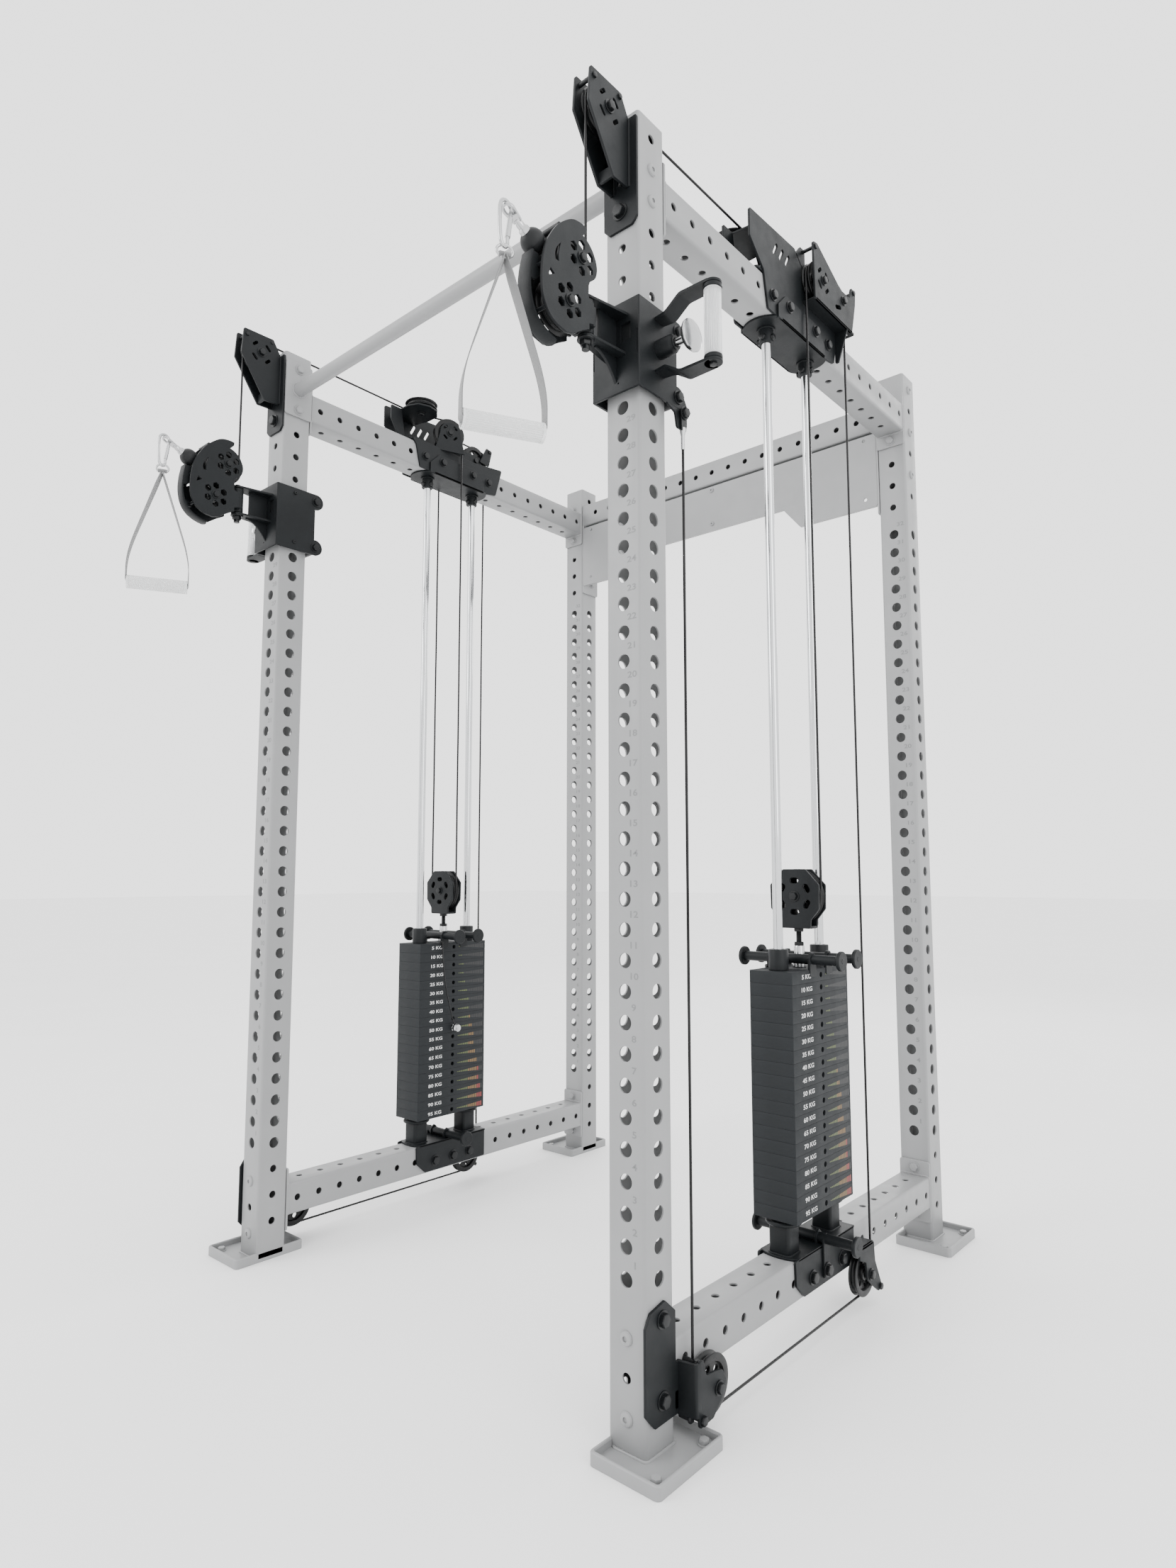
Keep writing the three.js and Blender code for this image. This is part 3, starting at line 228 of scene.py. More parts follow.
SCALE_INKS = [
    ink("scale_blank", (0.0055, 0.006, 0.0065)), ink("scale_green", (0.056, 0.072, 0.019)),
    ink("scale_amber", (0.125, 0.072, 0.022)), ink("scale_red", (0.175, 0.022, 0.019)),
]

# A piece's material with the slot of the part that it belongs to.
ON_FRAME, ON_BRACKET, BOLTS = (
    (FRAME_PAINT, "frame_paint"), (BLACK_PAINT, "bracket_paint"), (BOLT_BLACK, "bracket_paint"),
)
ON_PIN, ON_WHEEL, ON_STRAP = (STEEL, "pin_steel"), (NYLON, "pulley_plastic"), (WEB, "strap_web")

# ---- solids: every helper returns (points, faces) on the rack's grid ---------------------------------------
BASES = {"x": (Y, Z, X), "y": (Z, X, Y), "z": (X, Y, Z)}


def basis(u, v, w, origin):
    m = Matrix((u, v, w)).transposed().to_4x4()
    m.translation = origin
    return m


def moved(solid, matrix):
    points, faces = solid
    return [matrix @ Vector(p) for p in points], faces


def taken(curve):
    """The points and faces of a curve, which is then removed."""
    piece = bpy.data.objects.new("curve", curve)
    mesh = bpy.data.meshes.new_from_object(piece)
    points = [v.co.copy() for v in mesh.vertices]
    faces = [tuple(p.vertices) for p in mesh.polygons]
    bpy.data.objects.remove(piece)
    bpy.data.curves.remove(curve)
    bpy.data.meshes.remove(mesh)
    return points, faces


def wound(loop, sign):
    """A loop that runs anticlockwise for a sign of 1 and clockwise for -1."""
    loop = list(loop)
    area = sum(a[0] * b[1] - b[0] * a[1] for a, b in zip(loop, loop[1:] + loop[:1]))
    return loop if area * sign > 0 else loop[::-1]


def extruded(outline, depth, holes=(), bevel=0.5, start=0.0):
    """A flat plate with bevelled edges and holes, depth thick from start along Z."""
    curve = bpy.data.curves.new("plate", "CURVE")
    curve.dimensions = "2D"
    curve.fill_mode = "BOTH"
    curve.extrude = depth / 2 - bevel
    curve.bevel_depth = bevel
    curve.bevel_resolution = 1
    curve.offset = -bevel
    for loop in [wound(outline, 1)] + [wound(hole, -1) for hole in holes]:
        spline = curve.splines.new("POLY")
        spline.points.add(len(loop) - 1)
        for point, (a, b) in zip(spline.points, loop):
            point.co = (a, b, 0, 1)
        spline.use_cyclic_u = True
    points, faces = taken(curve)
    return [Vector((p.x, p.y, p.z + depth / 2 + start)) for p in points], faces


def plate(axis, a, b, outline, holes=(), bevel=0.5):
    """A plate square to an axis, from a to b. The outline is (y, z) on x, (x, z) on y and (x, y) on z."""
    swap = (lambda loop: [(q, p) for p, q in loop]) if axis == "y" else list
    u, v, w = BASES[axis]
    solid = extruded(swap(outline), b - a, [swap(h) for h in holes], bevel)
    return moved(solid, basis(u, v, w, w * a))


def sheet(axis, at, outline, corner, holes=(), bevel=0.7, thick=5.0):
    """A plate with rounded corners, thick millimetres from at."""
    return plate(axis, at, at + thick, rounded(outline, corner), holes, bevel)


def lathe(profile, direction, origin, sides=40):
    """A turned piece: profile is (radius, height) from one end to the other; a radius of 0 closes it."""
    points, faces, rings = [], [], []
    for radius, height in profile:
        if radius < 1e-6:
            rings.append([len(points)] * sides)
            points.append(Vector((0, 0, height)))
        else:
            rings.append(list(range(len(points), len(points) + sides)))
            points += [Vector((*pair, height)) for pair in circle(radius, sides)]
    if profile[0] == profile[-1]:
        rings[-1] = rings[0]
    for low, high in zip(rings, rings[1:]):
        for i in range(sides):
            j = (i + 1) % sides
            face = tuple(dict.fromkeys((low[i], low[j], high[j], high[i])))
            if len(face) > 2:
                faces.append(face)
    turned = Vector(direction).normalized().to_track_quat("Z", "Y").to_matrix().to_4x4()
    turned.translation = Vector(origin)
    return moved((points, faces), turned)


def rod(direction, centre, radius, length, edge=0.6, sides=36):
    h = length / 2
    e = min(edge, radius * 0.4, h * 0.8)
    profile = [(0, -h), (radius - e, -h), (radius, -h + e), (radius, h - e), (radius - e, h), (0, h)]
    return lathe(profile, direction, centre, sides)


def ring(direction, centre, outer, inner, length, edge=0.5, sides=36):
    h = length / 2
    rim = [(outer - edge, -h), (outer, -h + edge), (outer, h - edge), (outer - edge, h)]
    return lathe([(inner, -h)] + rim + [(inner, h), (inner, -h)], direction, centre, sides)


def loft(rings, closed=False):
    """Joins rings of points in their order and caps the ends of an open one."""
    n, count = len(rings[0]), len(rings)
    faces = []
    for i in range(count if closed else count - 1):
        j = (i + 1) % count
        faces += [(i * n + k, i * n + (k + 1) % n, j * n + (k + 1) % n, j * n + k) for k in range(n)]
    if not closed:
        faces += [tuple(range(n))[::-1], tuple(range((count - 1) * n, count * n))]
    return [point for each in rings for point in each], faces


def swept(path, section, closed=False, up=None):
    """Sweeps a closed section (pairs) along a path, turning as little as it can, or keeping to up."""
    count = len(path)
    tangents = []
    for i in range(count):
        if closed:
            tangents.append((path[(i + 1) % count] - path[i - 1]).normalized())
        else:
            back = path[i] - path[max(0, i - 1)]
            ahead = path[min(count - 1, i + 1)] - path[i]
            tangents.append(((back or ahead).normalized() + (ahead or back).normalized()).normalized())
    side = tangents[0].orthogonal().normalized()
    rings = []
    for place, tangent in zip(path, tangents):
        side = up.cross(tangent).normalized() if up else (side - tangent * side.dot(tangent)).normalized()
        other = tangent.cross(side)
        rings.append([place + side * a + other * b for a, b in section])
    return loft(rings, closed)


def polar(centre, radius, angle):
    return (centre[0] + radius * math.cos(math.radians(angle)),
            centre[1] + radius * math.sin(math.radians(angle)))


def circle(radius, sides=16, centre=(0, 0), start=0.0):
    return [polar(centre, radius, start + 360 * i / sides) for i in range(sides)]


def arc(centre, radius, start, end, steps):
    return [polar(centre, radius, start + (end - start) * i / steps) for i in range(steps + 1)]


def half_oval(y, a, b, start):
    """Half of an ellipse about the post's middle, from an angle on."""
    angles = [math.radians(t) for t in range(start, start + 181, 15)]
    return [(X_MID + a * math.cos(t), y + b * math.sin(t)) for t in angles]


def rectangle(x0, x1, y0, y1, radius=0.0, steps=4):
    if not radius:
        return [(x0, y0), (x1, y0), (x1, y1), (x0, y1)]
    xa, xb, ya, yb = x0 + radius, x1 - radius, y0 + radius, y1 - radius
    corners = (((xb, ya), -90), ((xb, yb), 0), ((xa, yb), 90), ((xa, ya), 180))
    return [point for centre, start in corners for point in arc(centre, radius, start, start + 90, steps)]


def rounded(outline, radius, steps=4):
    """Rounds every corner of an outline that has room for it."""
    loop, count = [], len(outline)
    for i in range(count):
        before, here, after = (Vector(outline[j % count]) for j in (i - 1, i, i + 1))
        a, b = (before - here), (after - here)
        turn = a.angle(b)
        if turn > math.radians(172):
            loop.append(tuple(here))
            continue
        cutoff = min(radius / math.tan(turn / 2), a.length * 0.45, b.length * 0.45)
        start, end = here + a.normalized() * cutoff, here + b.normalized() * cutoff
        for t in (k / steps for k in range(steps + 1)):
            loop.append(tuple(start * (1 - t) ** 2 + here * 2 * t * (1 - t) + end * t * t))
    return loop


def smooth(points, corners=(), per=5):
    """A closed curve through points that keeps the corners whose indices are given."""
    count = len(points)
    loop = []
    for i in range(count):
        p1, p2 = Vector(points[i]), Vector(points[(i + 1) % count])
        p0 = Vector(points[i - 1]) if i not in corners else p1 * 2 - p2
        p3 = Vector(points[(i + 2) % count]) if (i + 1) % count not in corners else p2 * 2 - p1
        for t in (k / per for k in range(per)):
            q = 0.5 * (2 * p1 + (p2 - p0) * t + (2 * p0 - 5 * p1 + 4 * p2 - p3) * t * t
                       + (3 * p1 - p0 - 3 * p2 + p3) * t ** 3)
            loop.append((q.x, q.y))
    return loop


def slot(centre, length, width, angle=0.0, steps=6):
    """A slot's outline: round ends, angle in degrees."""
    half, r = (length - width) / 2, width / 2
    loop = arc((half, 0), r, -90, 90, steps) + arc((-half, 0), r, 90, 270, steps)
    c, s = math.cos(math.radians(angle)), math.sin(math.radians(angle))
    return [(centre[0] + p * c - q * s, centre[1] + p * s + q * c) for p, q in loop]


def cross_holes(centre, radius, r, count=4, start=45):
    """Short slots round an axle."""
    angles = [start + 360 * k / count for k in range(count)]
    return [slot(polar(centre, radius, angle), 2.6 * r, r, angle + 90) for angle in angles]


def on_face(axis, at, outline):
    """An outline's points in space, on a face square to an axis."""
    k = "xyz".index(axis)
    return [Vector((*pair[:k], at, *pair[k:])) for pair in outline]


def bead(axis, at, outline, radius):
    """A weld bead round an outline on a face."""
    return swept(on_face(axis, at, outline), circle(radius, 8), closed=True)


def hex_bolt(direction, face, radius=11.0, height=8.0, washer=True):
    """A hexagon head on a washer, standing out of a face."""
    out, at, r = Vector(direction).normalized(), Vector(face), radius
    base = 2.0 if washer else 0.0
    top = base + height
    profile = [(0, base - 0.3), (r * 0.98, base - 0.3), (r, base + 0.6), (r, top - 2.2),
               (r * 0.9, top - 0.7), (r * 0.45, top - 0.4), (0, top - 0.4)]
    pieces = [rod(out, at + out * 1.0, radius * 1.3, 2.0, 0.4, 28)] if washer else []
    return pieces + [lathe(profile, out, at, 6)]


def button_bolt(direction, face, radius=11.0):
    """A low round head with a socket."""
    profile = [(0, -0.3), (radius, -0.3), (radius, 1.2), (radius * 0.86, 3.6), (radius * 0.55, 5.0),
               (radius * 0.38, 5.2), (radius * 0.36, 2.5), (0, 2.4)]
    return lathe(profile, direction, face, 28)


def spacer(direction, centre, length, outer=11):
    """A ring that keeps a wheel off its bracket."""
    return ring(direction, centre, outer, AXLE_R, length)


def outer_axle(place, head, radius=AXLE_R):
    """An axle from a bracket's plate to its outer ear, with a head outside."""
    end = EAR_X + 5
    return [rod(X, ((OUT0 + end) / 2, *place), radius, end - OUT0), hex_bolt(X, (end, *place), *head)]


# ---- pieces ------------------------------------------------------------------------------------------------
def flat(items):
    for item in items:
        if isinstance(item, tuple):
            yield item
        else:
            yield from flat(item)


def merged(solids):
    points, faces = [], []
    for solid in flat(solids):
        base = len(points)
        points += solid[0]
        faces += [tuple(i + base for i in face) for face in solid[1]]
    return points, faces


def welded(mesh):
    """Joins points that lie on each other, so that the mesh is closed."""
    work = bmesh.new()
    work.from_mesh(mesh)
    bmesh.ops.remove_doubles(work, verts=work.verts, dist=2e-6)
    bmesh.ops.recalc_face_normals(work, faces=work.faces)
    work.to_mesh(mesh)
    work.free()
    return mesh


def linked(name, mesh):
    piece = bpy.data.objects.new(name, mesh)
    bpy.context.collection.objects.link(piece)
    return piece


def carve(mesh, *cutters):
    """Cuts closed meshes out of a closed mesh and gives the result."""
    base = linked("carved", welded(mesh))
    tools = [linked("cutter", welded(cutter)) for cutter in cutters]
    for tool in tools:
        modifier = base.modifiers.new("cut", "BOOLEAN")
        modifier.object = tool
        modifier.operation = "DIFFERENCE"
        modifier.solver = "MANIFOLD"
    graph = bpy.context.evaluated_depsgraph_get()
    result = bpy.data.meshes.new_from_object(base.evaluated_get(graph))
    for item in [base] + tools:
        bpy.data.objects.remove(item)
    return result


def dress(mesh, material, angle):
    mesh.materials.clear()
    for each in material if isinstance(material, list) else [material]:
        mesh.materials.append(each)
    mesh.polygons.foreach_set("use_smooth", [True] * len(mesh.polygons))
    mesh.set_sharp_from_angle(angle=math.radians(angle))


class Station:
    """One side of the machine. A star in a name stands for the side's letter; a sign of -1 mirrors it."""

    def __init__(self, letter, sign):
        self.letter, self.sign = letter, sign

    def full(self, name):
        return name.replace("*", self.letter)

    def point(self, p):
        return (p[0] * MM * self.sign, (p[1] + SHIFT_Y) * MM, p[2] * MM)

    def mesh(self, solids, name="solid"):
        points, faces = merged([solids])
        if self.sign < 0:
            faces = [face[::-1] for face in faces]
        mesh = bpy.data.meshes.new(name)
        mesh.from_pydata([self.point(p) for p in points], [], faces)
        mesh.update()
        return mesh

    def place(self, name, mesh, body, slot_name, node=None, height=0.0):
        """Hangs a mesh on a body; given (body, body, start, end) it only bakes the mesh's place into its
        points and hangs it on nothing.
        """
        piece = bpy.data.objects.new(self.full(name), mesh)
        piece.location.z = height * MM
        bpy.context.collection.objects.link(piece)
        if isinstance(body, tuple):
            a, b, start, end = body
            self.full(a)
            self.full(b)
            self.point(start)
            self.point(end)
            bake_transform(piece)
        else:
            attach(piece, self.full(body))
        if node:
            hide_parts(self.full(node))
        return piece

    def finish(self, name, mesh, body, finish, node=None, angle=32):
        material, slot_name = finish
        dress(mesh, material, angle)
        return self.place(name, mesh, body, slot_name, node)

    def add(self, name, solids, body, finish, node=None, angle=32):
        return self.finish(name, self.mesh(solids, self.full(name)), body, finish, node, angle)


def printed(words, size, centre, right, wide, weight):
    """Words 0.12 mm high on a face, centred at a point and reading along right, wide times as wide."""
    curve = bpy.data.curves.new("words", "FONT")
    curve.body = words
    curve.size = size
    curve.extrude = 0.5
    curve.offset = weight
    curve.align_x, curve.align_y = "CENTER", "CENTER"
    curve.resolution_u = 3
    points, faces = taken(curve)
    out = right.cross(Z)
    return [centre + right * p.x * wide + Z * p.y + out * p.z * 0.12 for p in points], faces


# ---- rack --------------------------------------------------------------------------------------------------
BIG_Z = [268.3 + 50 * n for n in range(32)]
FRONT_SMALL = [60, 120, 180, 1893.5, 1953.5, 2013.5, 2073.5, 2133.5, 2193.5]
SIDE_SMALL = [88, 148, 208, 1925.5, 1985.5, 2045.5, 2105.5, 2165.5, 2225.5]
NUMBERED_TO = 1700


def drill(axis, centre, radius=8.0, sides=20):
    return rod(axis, centre, radius, 90, 0.01, sides)


def tube(s, name, axis, span, bore_span, box, cuts, node, bevel=0.3):
    """A square tube along an axis, bored and drilled; box holds its faces on the two other axes."""
    a0, a1, b0, b1 = box
    outer = plate(axis, *span, rectangle(*box, 6, 5), bevel=bevel)
    bore = plate(axis, *bore_span, rectangle(a0 + WALL, a1 - WALL, b0 + WALL, b1 - WALL, 3, 3), bevel=0.2)
    s.finish(name, carve(*(s.mesh(solids) for solids in (outer, bore, *cuts))), "rack", ON_FRAME, node)


def upright(s, place, y0):
    y1, y_mid = y0 + TUBE, y0 + POST_Y
    cuts = [
        [drill(axis, (X_MID, y_mid, z), 12.5, 28) for z in BIG_Z]
        + [drill(axis, (X_MID, y_mid, z), 8.5) for z in small]
        for axis, small in ((Y, FRONT_SMALL), (X, SIDE_SMALL))
    ]
    tube(s, f"post_{place}_*", "z", (8.0, RACK_H), (6.0, RACK_H + 5), (X_IN, X_OUT, y0, y1), cuts,
         f"upright_{place}_*", 0.4)
    ya, yb = y0 - 50, y1 + 50
    screws = (ya + 24, yb - 24)
    section = [(0.6, 0), (7, 0), (7, 19.5), (5.4, 21.4), (3.5, 22), (1.6, 21.4), (0, 19.5), (0, 0.6)]
    foot = [
        plate("z", 0.5, 9, rectangle(X_IN + 3, 674, ya + 3, yb - 3, 6),
              [circle(7, 16, (654, y)) for y in screws], 0.6),
        swept(on_face("z", 0, rectangle(X_IN, 677, ya, yb, 9, 6)), section, closed=True, up=Z),
        bead("z", 9.5, rectangle(X_IN + 7.5, X_OUT + 1.5, y0 - 1.5, y1 + 1.5, 7, 4), 2.6),
        [hex_bolt(Z, (654, y, 8.8), 9, 7) for y in screws],
    ]
    s.add(f"foot_{place}_*", foot, "rack", ON_FRAME)
    inset = WALL + 0.4
    cap = rectangle(X_IN + inset, X_OUT - inset, y0 + inset, y1 - inset, 3, 4)
    s.add(f"post_cap_{place}_*", plate("z", RACK_H - 6, RACK_H + 2.5, cap, bevel=1.2), "rack", ON_FRAME)
    numbers = [
        printed(str(n), 15, Vector((X_MID + 18.0 * s.sign, y0 - 0.05, z + 25)), s.sign * X, 1.35, 0.3)
        for n, z in enumerate(BIG_Z, 1) if z < NUMBERED_TO or place == "rear"
    ]
    s.add(f"hole_numbers_{place}_*", numbers, "rack", (NUMBER, "frame_paint"))
    outward, face_y, face_z, side_z = {
        "front": (-Y, y0, (60, 180), (2105.5, 2165.5)),
        "rear": (Y, y1, (60, 180, 2073.5, 2193.5), (1985.5, 2105.5, 2225.5)),
    }[place]
    heads = [button_bolt(outward, (X_MID, face_y, z), 12) for z in face_z]
    heads += [button_bolt(X, (X_OUT, y_mid, z), 11) for z in side_z]
    s.add(f"post_bolts_{place}_*", heads, "rack", ON_FRAME)


def side_beam(s, level, z_mid):
    y0, y1 = TUBE + GAP, Y_BACK - GAP
    low, high = z_mid - TUBE / 2, z_mid + TUBE / 2
    cuts = [
        [drill(axis, (X_MID, first + 60 * k, z_mid)) for k in range(18) if first + 60 * k < y1 - 12]
        for axis, first in ((X, 105.5), (Z, 131.5))
    ]
    tube(s, f"beam_{level}_*", "y", (y0 + 4, y1 - 4), (y0 - 4, y1 + 4), (X_IN, X_OUT, low, high), cuts,
         f"side_beam_{level}_*")
    hole = rectangle(X_IN + WALL + 3, X_OUT - WALL - 3, low + 8, high - 8, 4)
    flanges = []
    for at, face, out in ((y0, y0 + 5, Y), (y1 - 5, y1 - 5, -Y)):
        flanges += [
            plate("y", at, at + 5, rectangle(X_IN, X_OUT, z_mid - 73, z_mid + 73, 6), [hole], 0.8),
            bead("y", face, rectangle(X_IN + 1, X_OUT - 1, low - 1, high + 1, 7, 4), 2.4),
            [hex_bolt(out, (X_MID, face, z), 10, 7) for z in (z_mid - 56, z_mid + 56)],
        ]
    s.add(f"beam_flanges_{level}_*", flanges, "rack", ON_FRAME)


def cross_pieces(s):
    bar = [lathe([(14, 1 - IN0), (17, 1 - IN0), (17, IN0 - 1), (14, IN0 - 1), (14, 1 - IN0)], X,
                 (0, POST_Y, BAR_Z), 48)]
    ends = []
    for sign in (-1, 1):
        face = sign * (IN0 - 5)
        a, b = sorted((face, sign * IN0))
        bar += [
            plate("x", a, b, rectangle(0, TUBE, 2092, 2238, 6), bevel=0.8),
            bead("x", face, circle(18, 32, (POST_Y, BAR_Z)), 2.4),
            [hex_bolt(-sign * X, (face, POST_Y, z), 10, 7) for z in (2110, 2220)],
        ]
        ends.append(plate("x", a, b, rectangle(Y_BACK + 0.2, RACK_D - 0.2, 1886.2, 2199.8, 6), bevel=0.8))
        ends += [hex_bolt(-sign * X, (face, 1200, z), 10, 7) for z in (1925, 2040, 2105)]
    s.add("chin_bar", bar, "rack", ON_FRAME, "pull_up_bar")

    beam_low, beam_top = 2125.0, 2200.0
    centre = ((Y_BACK + RACK_D) / 2, (beam_low + beam_top) / 2)
    cuts = [[drill(axis, (first + 60 * k, *centre)) for k in range(count)]
            for axis, first, count in ((Y, -480, 17), (Z, -450, 16))]
    tube(s, "rear_beam", "x", (4 - IN0, IN0 - 4), (-IN0 - 4, IN0 + 4), (Y_BACK, RACK_D, beam_low, beam_top),
         cuts, "rear_cross_member")
    end, low, waist, top = IN0 - 5.2, 1911.0, 1975.0, 2117.0
    under = [(-end, low), (-302, low), (-248, waist), (248, waist), (302, low), (end, low)]
    fold = [(x * 0.99, z + 4) for x, z in reversed(under)]
    panel = [
        sheet("y", Y_BACK + 0.2, under + [(end, top), (-end, top)], 5,
              [circle(5, 16, (sign * 500, z)) for sign in (-1, 1) for z in (1936, 2104)], 0.6, 4.8),
        plate("y", Y_BACK + 0.4, Y_BACK + 11.5, [(x * 0.992, z + 0.3) for x, z in under] + fold, bevel=0.3),
        plate("z", top - 4, top, rectangle(6 - end, end - 6, Y_BACK + 0.6, RACK_D - 6, 1)),
        ends,
        [button_bolt(-Y, (0, Y_BACK + 0.2, z), 7) for z in (1996, 2104)],
    ]
    s.add("rear_panel", panel, "rack", ON_FRAME)


# ---- pulleys -----------------------------------------------------------------------------------------------
def pulley(s, name, node, direction, centre, pitch, spokes=6):
    """A grooved nylon wheel with a ring of lightening holes, a raised hub and a bearing."""
    rim, groove, half = pitch + 3.9, pitch - 3.5, 8.8
    d = Vector(direction).normalized()
    u = d.orthogonal().normalized()
    web_in, web_out = 17.0, groove - 7.0
    low = [
        (web_out, -3.4), (web_out + 2, -half + 0.6), (rim - 2.2, -half), (rim - 0.5, -half + 0.6),
        (rim, -half + 1.8), (rim - 1.2, -half + 3.4), (groove + 0.9, -3.0), (groove, -1.6),
    ]
    profile = low + [(groove - 0.2, 0)] + [(r, -h) for r, h in reversed(low)] + low[:1]
    hub = [(8.2, -half), (14, -half), (15.4, -half + 1), (web_in, -3.4)]
    hub += [(r, -h) for r, h in reversed(hub)] + hub[:1]
    middle = (web_in + web_out) / 2
    hole_r = min((web_out - web_in) / 2 - 2.0, middle * math.sin(math.pi / spokes) - 2.5)
    holes = [circle(hole_r, 20, place) for place in circle(middle, spokes)] + [circle(web_in - 1, 32)]
    web = moved(extruded(circle(web_out + 0.5, 48), 6.0, holes, 0.5, -3.0),
                basis(u, d.cross(u), d, Vector(centre)))
    wheel = [lathe(profile, d, centre, 72), lathe(hub, d, centre, 40), web]
    s.add(f"{name}_*_wheel", wheel, f"{name}_*", ON_WHEEL, f"{node}_*")
    seal = ring(d, centre, 13.6, 8.4, 2 * half + 0.5, 0.4, 36)
    s.add(f"{name}_*_wheel_bearing", seal, f"{name}_*", (STEEL, "pulley_plastic"))


# ---- cable -------------------------------------------------------------------------------------------------
def wrap(centre, radius, u, v, start, end, steps):
    return [Vector(centre) + u * p + v * q for p, q in arc((0, 0), radius, start, end, steps)]


def cable(s):
    tilt, slant = math.degrees(EXIT_TILT), math.degrees(SLANT)

    def run(name, path, body):
        s.add(name, swept(path, circle(CABLE_R, 14)), body, (SHEATH, "cable_sheath"), "cable_*", 60)

    head = wrap((X_MID, *HEAD_UP), ARM_R, Y, Z, -90 - tilt, 0, 24)
    start = BALL - EXIT_DIR * (BALL_R - 1)
    front = wrap((X_MID, *FRONT_AXLE), ARM_R, Y, Z, 180, 90, 16)
    turn = wrap(TURN, MID_R, X, Y, 0, slant, 6)
    drop = wrap(DROP, MID_R, SLANT_DIR, Z, 90, 0, 16)
    lift = wrap((X_MID, STACK_Y, LIFT_Z), LIFT_R, X, Z, 180, 360, 32)
    over = wrap((OUTER_X, *OVER_FRONT), MID_R, Y, Z, 180, 90, 16)
    rear = wrap((OUTER_X, *OVER_REAR), MID_R, Y, Z, 90, 0, 16)
    low = wrap((OUTER_X, *BASE_AXLE), LOW_R, Y, Z, 0, -90, 16)
    floor = wrap((OUTER_X, *FLOOR_AXLE), LOW_R, Y, Z, -90, -180, 16)
    tail = Vector((OUTER_X, ANCHOR_Y, 1664))
    run("cable_out_*", [start, head[0]], ("swivel_head_*", "cable_stop_*", head[0], start))
    run("cable_head_*", head, "swivel_head_*")
    run("cable_column_*", [head[-1], front[0]], ("rack", "carriage_*", front[0], head[-1]))
    run("cable_top_*", front + turn + drop, "rack")
    run("cable_lift_in_*", [drop[-1], lift[0]], ("rack", "lifted_weights_*", drop[-1], lift[0]))
    run("cable_lift_*", lift, "lifted_weights_*")
    run("cable_lift_out_*", [lift[-1], over[0]], ("rack", "lifted_weights_*", over[0], lift[-1]))
    run("cable_outer_*", over + rear + low + floor, "rack")
    run("cable_anchor_*", [floor[-1], tail], ("rack", "carriage_*", floor[-1], tail))


# ---- brackets at the top -----------------------------------------------------------------------------------
def top_front(s):
    face, reach = -5.3, 19.5
    outline = [(X_IN, 2058), (X_IN + 12, 2046), (X_OUT - 12, 2046), (X_OUT, 2058), (X_OUT, 2249),
               (X_IN, 2249)]
    ear = [(-5, 2116), (-46, 2114), (-112, 2216), (-107, 2282), (-26, 2284), (-5, 2248)]
    solids = [sheet("y", face, outline, 5, [circle(8, 20, (X_MID, 2137))])]
    solids += [sheet("x", X_MID + x, ear, 5, cross_holes(FRONT_AXLE, 25, 7)) for x in (-reach, reach - 5)]
    solids += [
        swept([Vector((X_MID + x, -5.4, 2118)), Vector((X_MID + x, -5.4, 2246))], circle(2.0, 8))
        for x in (-20.5, -13.5, 13.5, 20.5)
    ]
    solids.append(plate("y", -46, -41, rectangle(X_MID - 15, X_MID + 15, 2116, 2138, 1)))
    s.add("top_front_frame_*", solids, "rack", ON_BRACKET, "top_front_bracket_*")
    bolts = [
        rod(X, (X_MID, *FRONT_AXLE), AXLE_R, 40), rod(X, (X_MID, -98, 2268), 4, 44),
        rod(X, (X_MID, -30, 2274), 4, 44),
        hex_bolt(X, (X_MID + reach, -30, 2274), 5.5, 4, False), hex_bolt(-Y, (X_MID, face, 2080), 12, 9),
    ]
    for sign in (1, -1):
        bolts += [
            hex_bolt(sign * X, (X_MID + sign * reach, *FRONT_AXLE), 9, 7),
            hex_bolt(sign * X, (X_MID + sign * reach, -98, 2268), 5.5, 4, False),
            spacer(X, (X_MID + sign * 11.7, *FRONT_AXLE), 5),
        ]
    s.add("top_front_bolts_*", bolts, "rack", BOLTS)


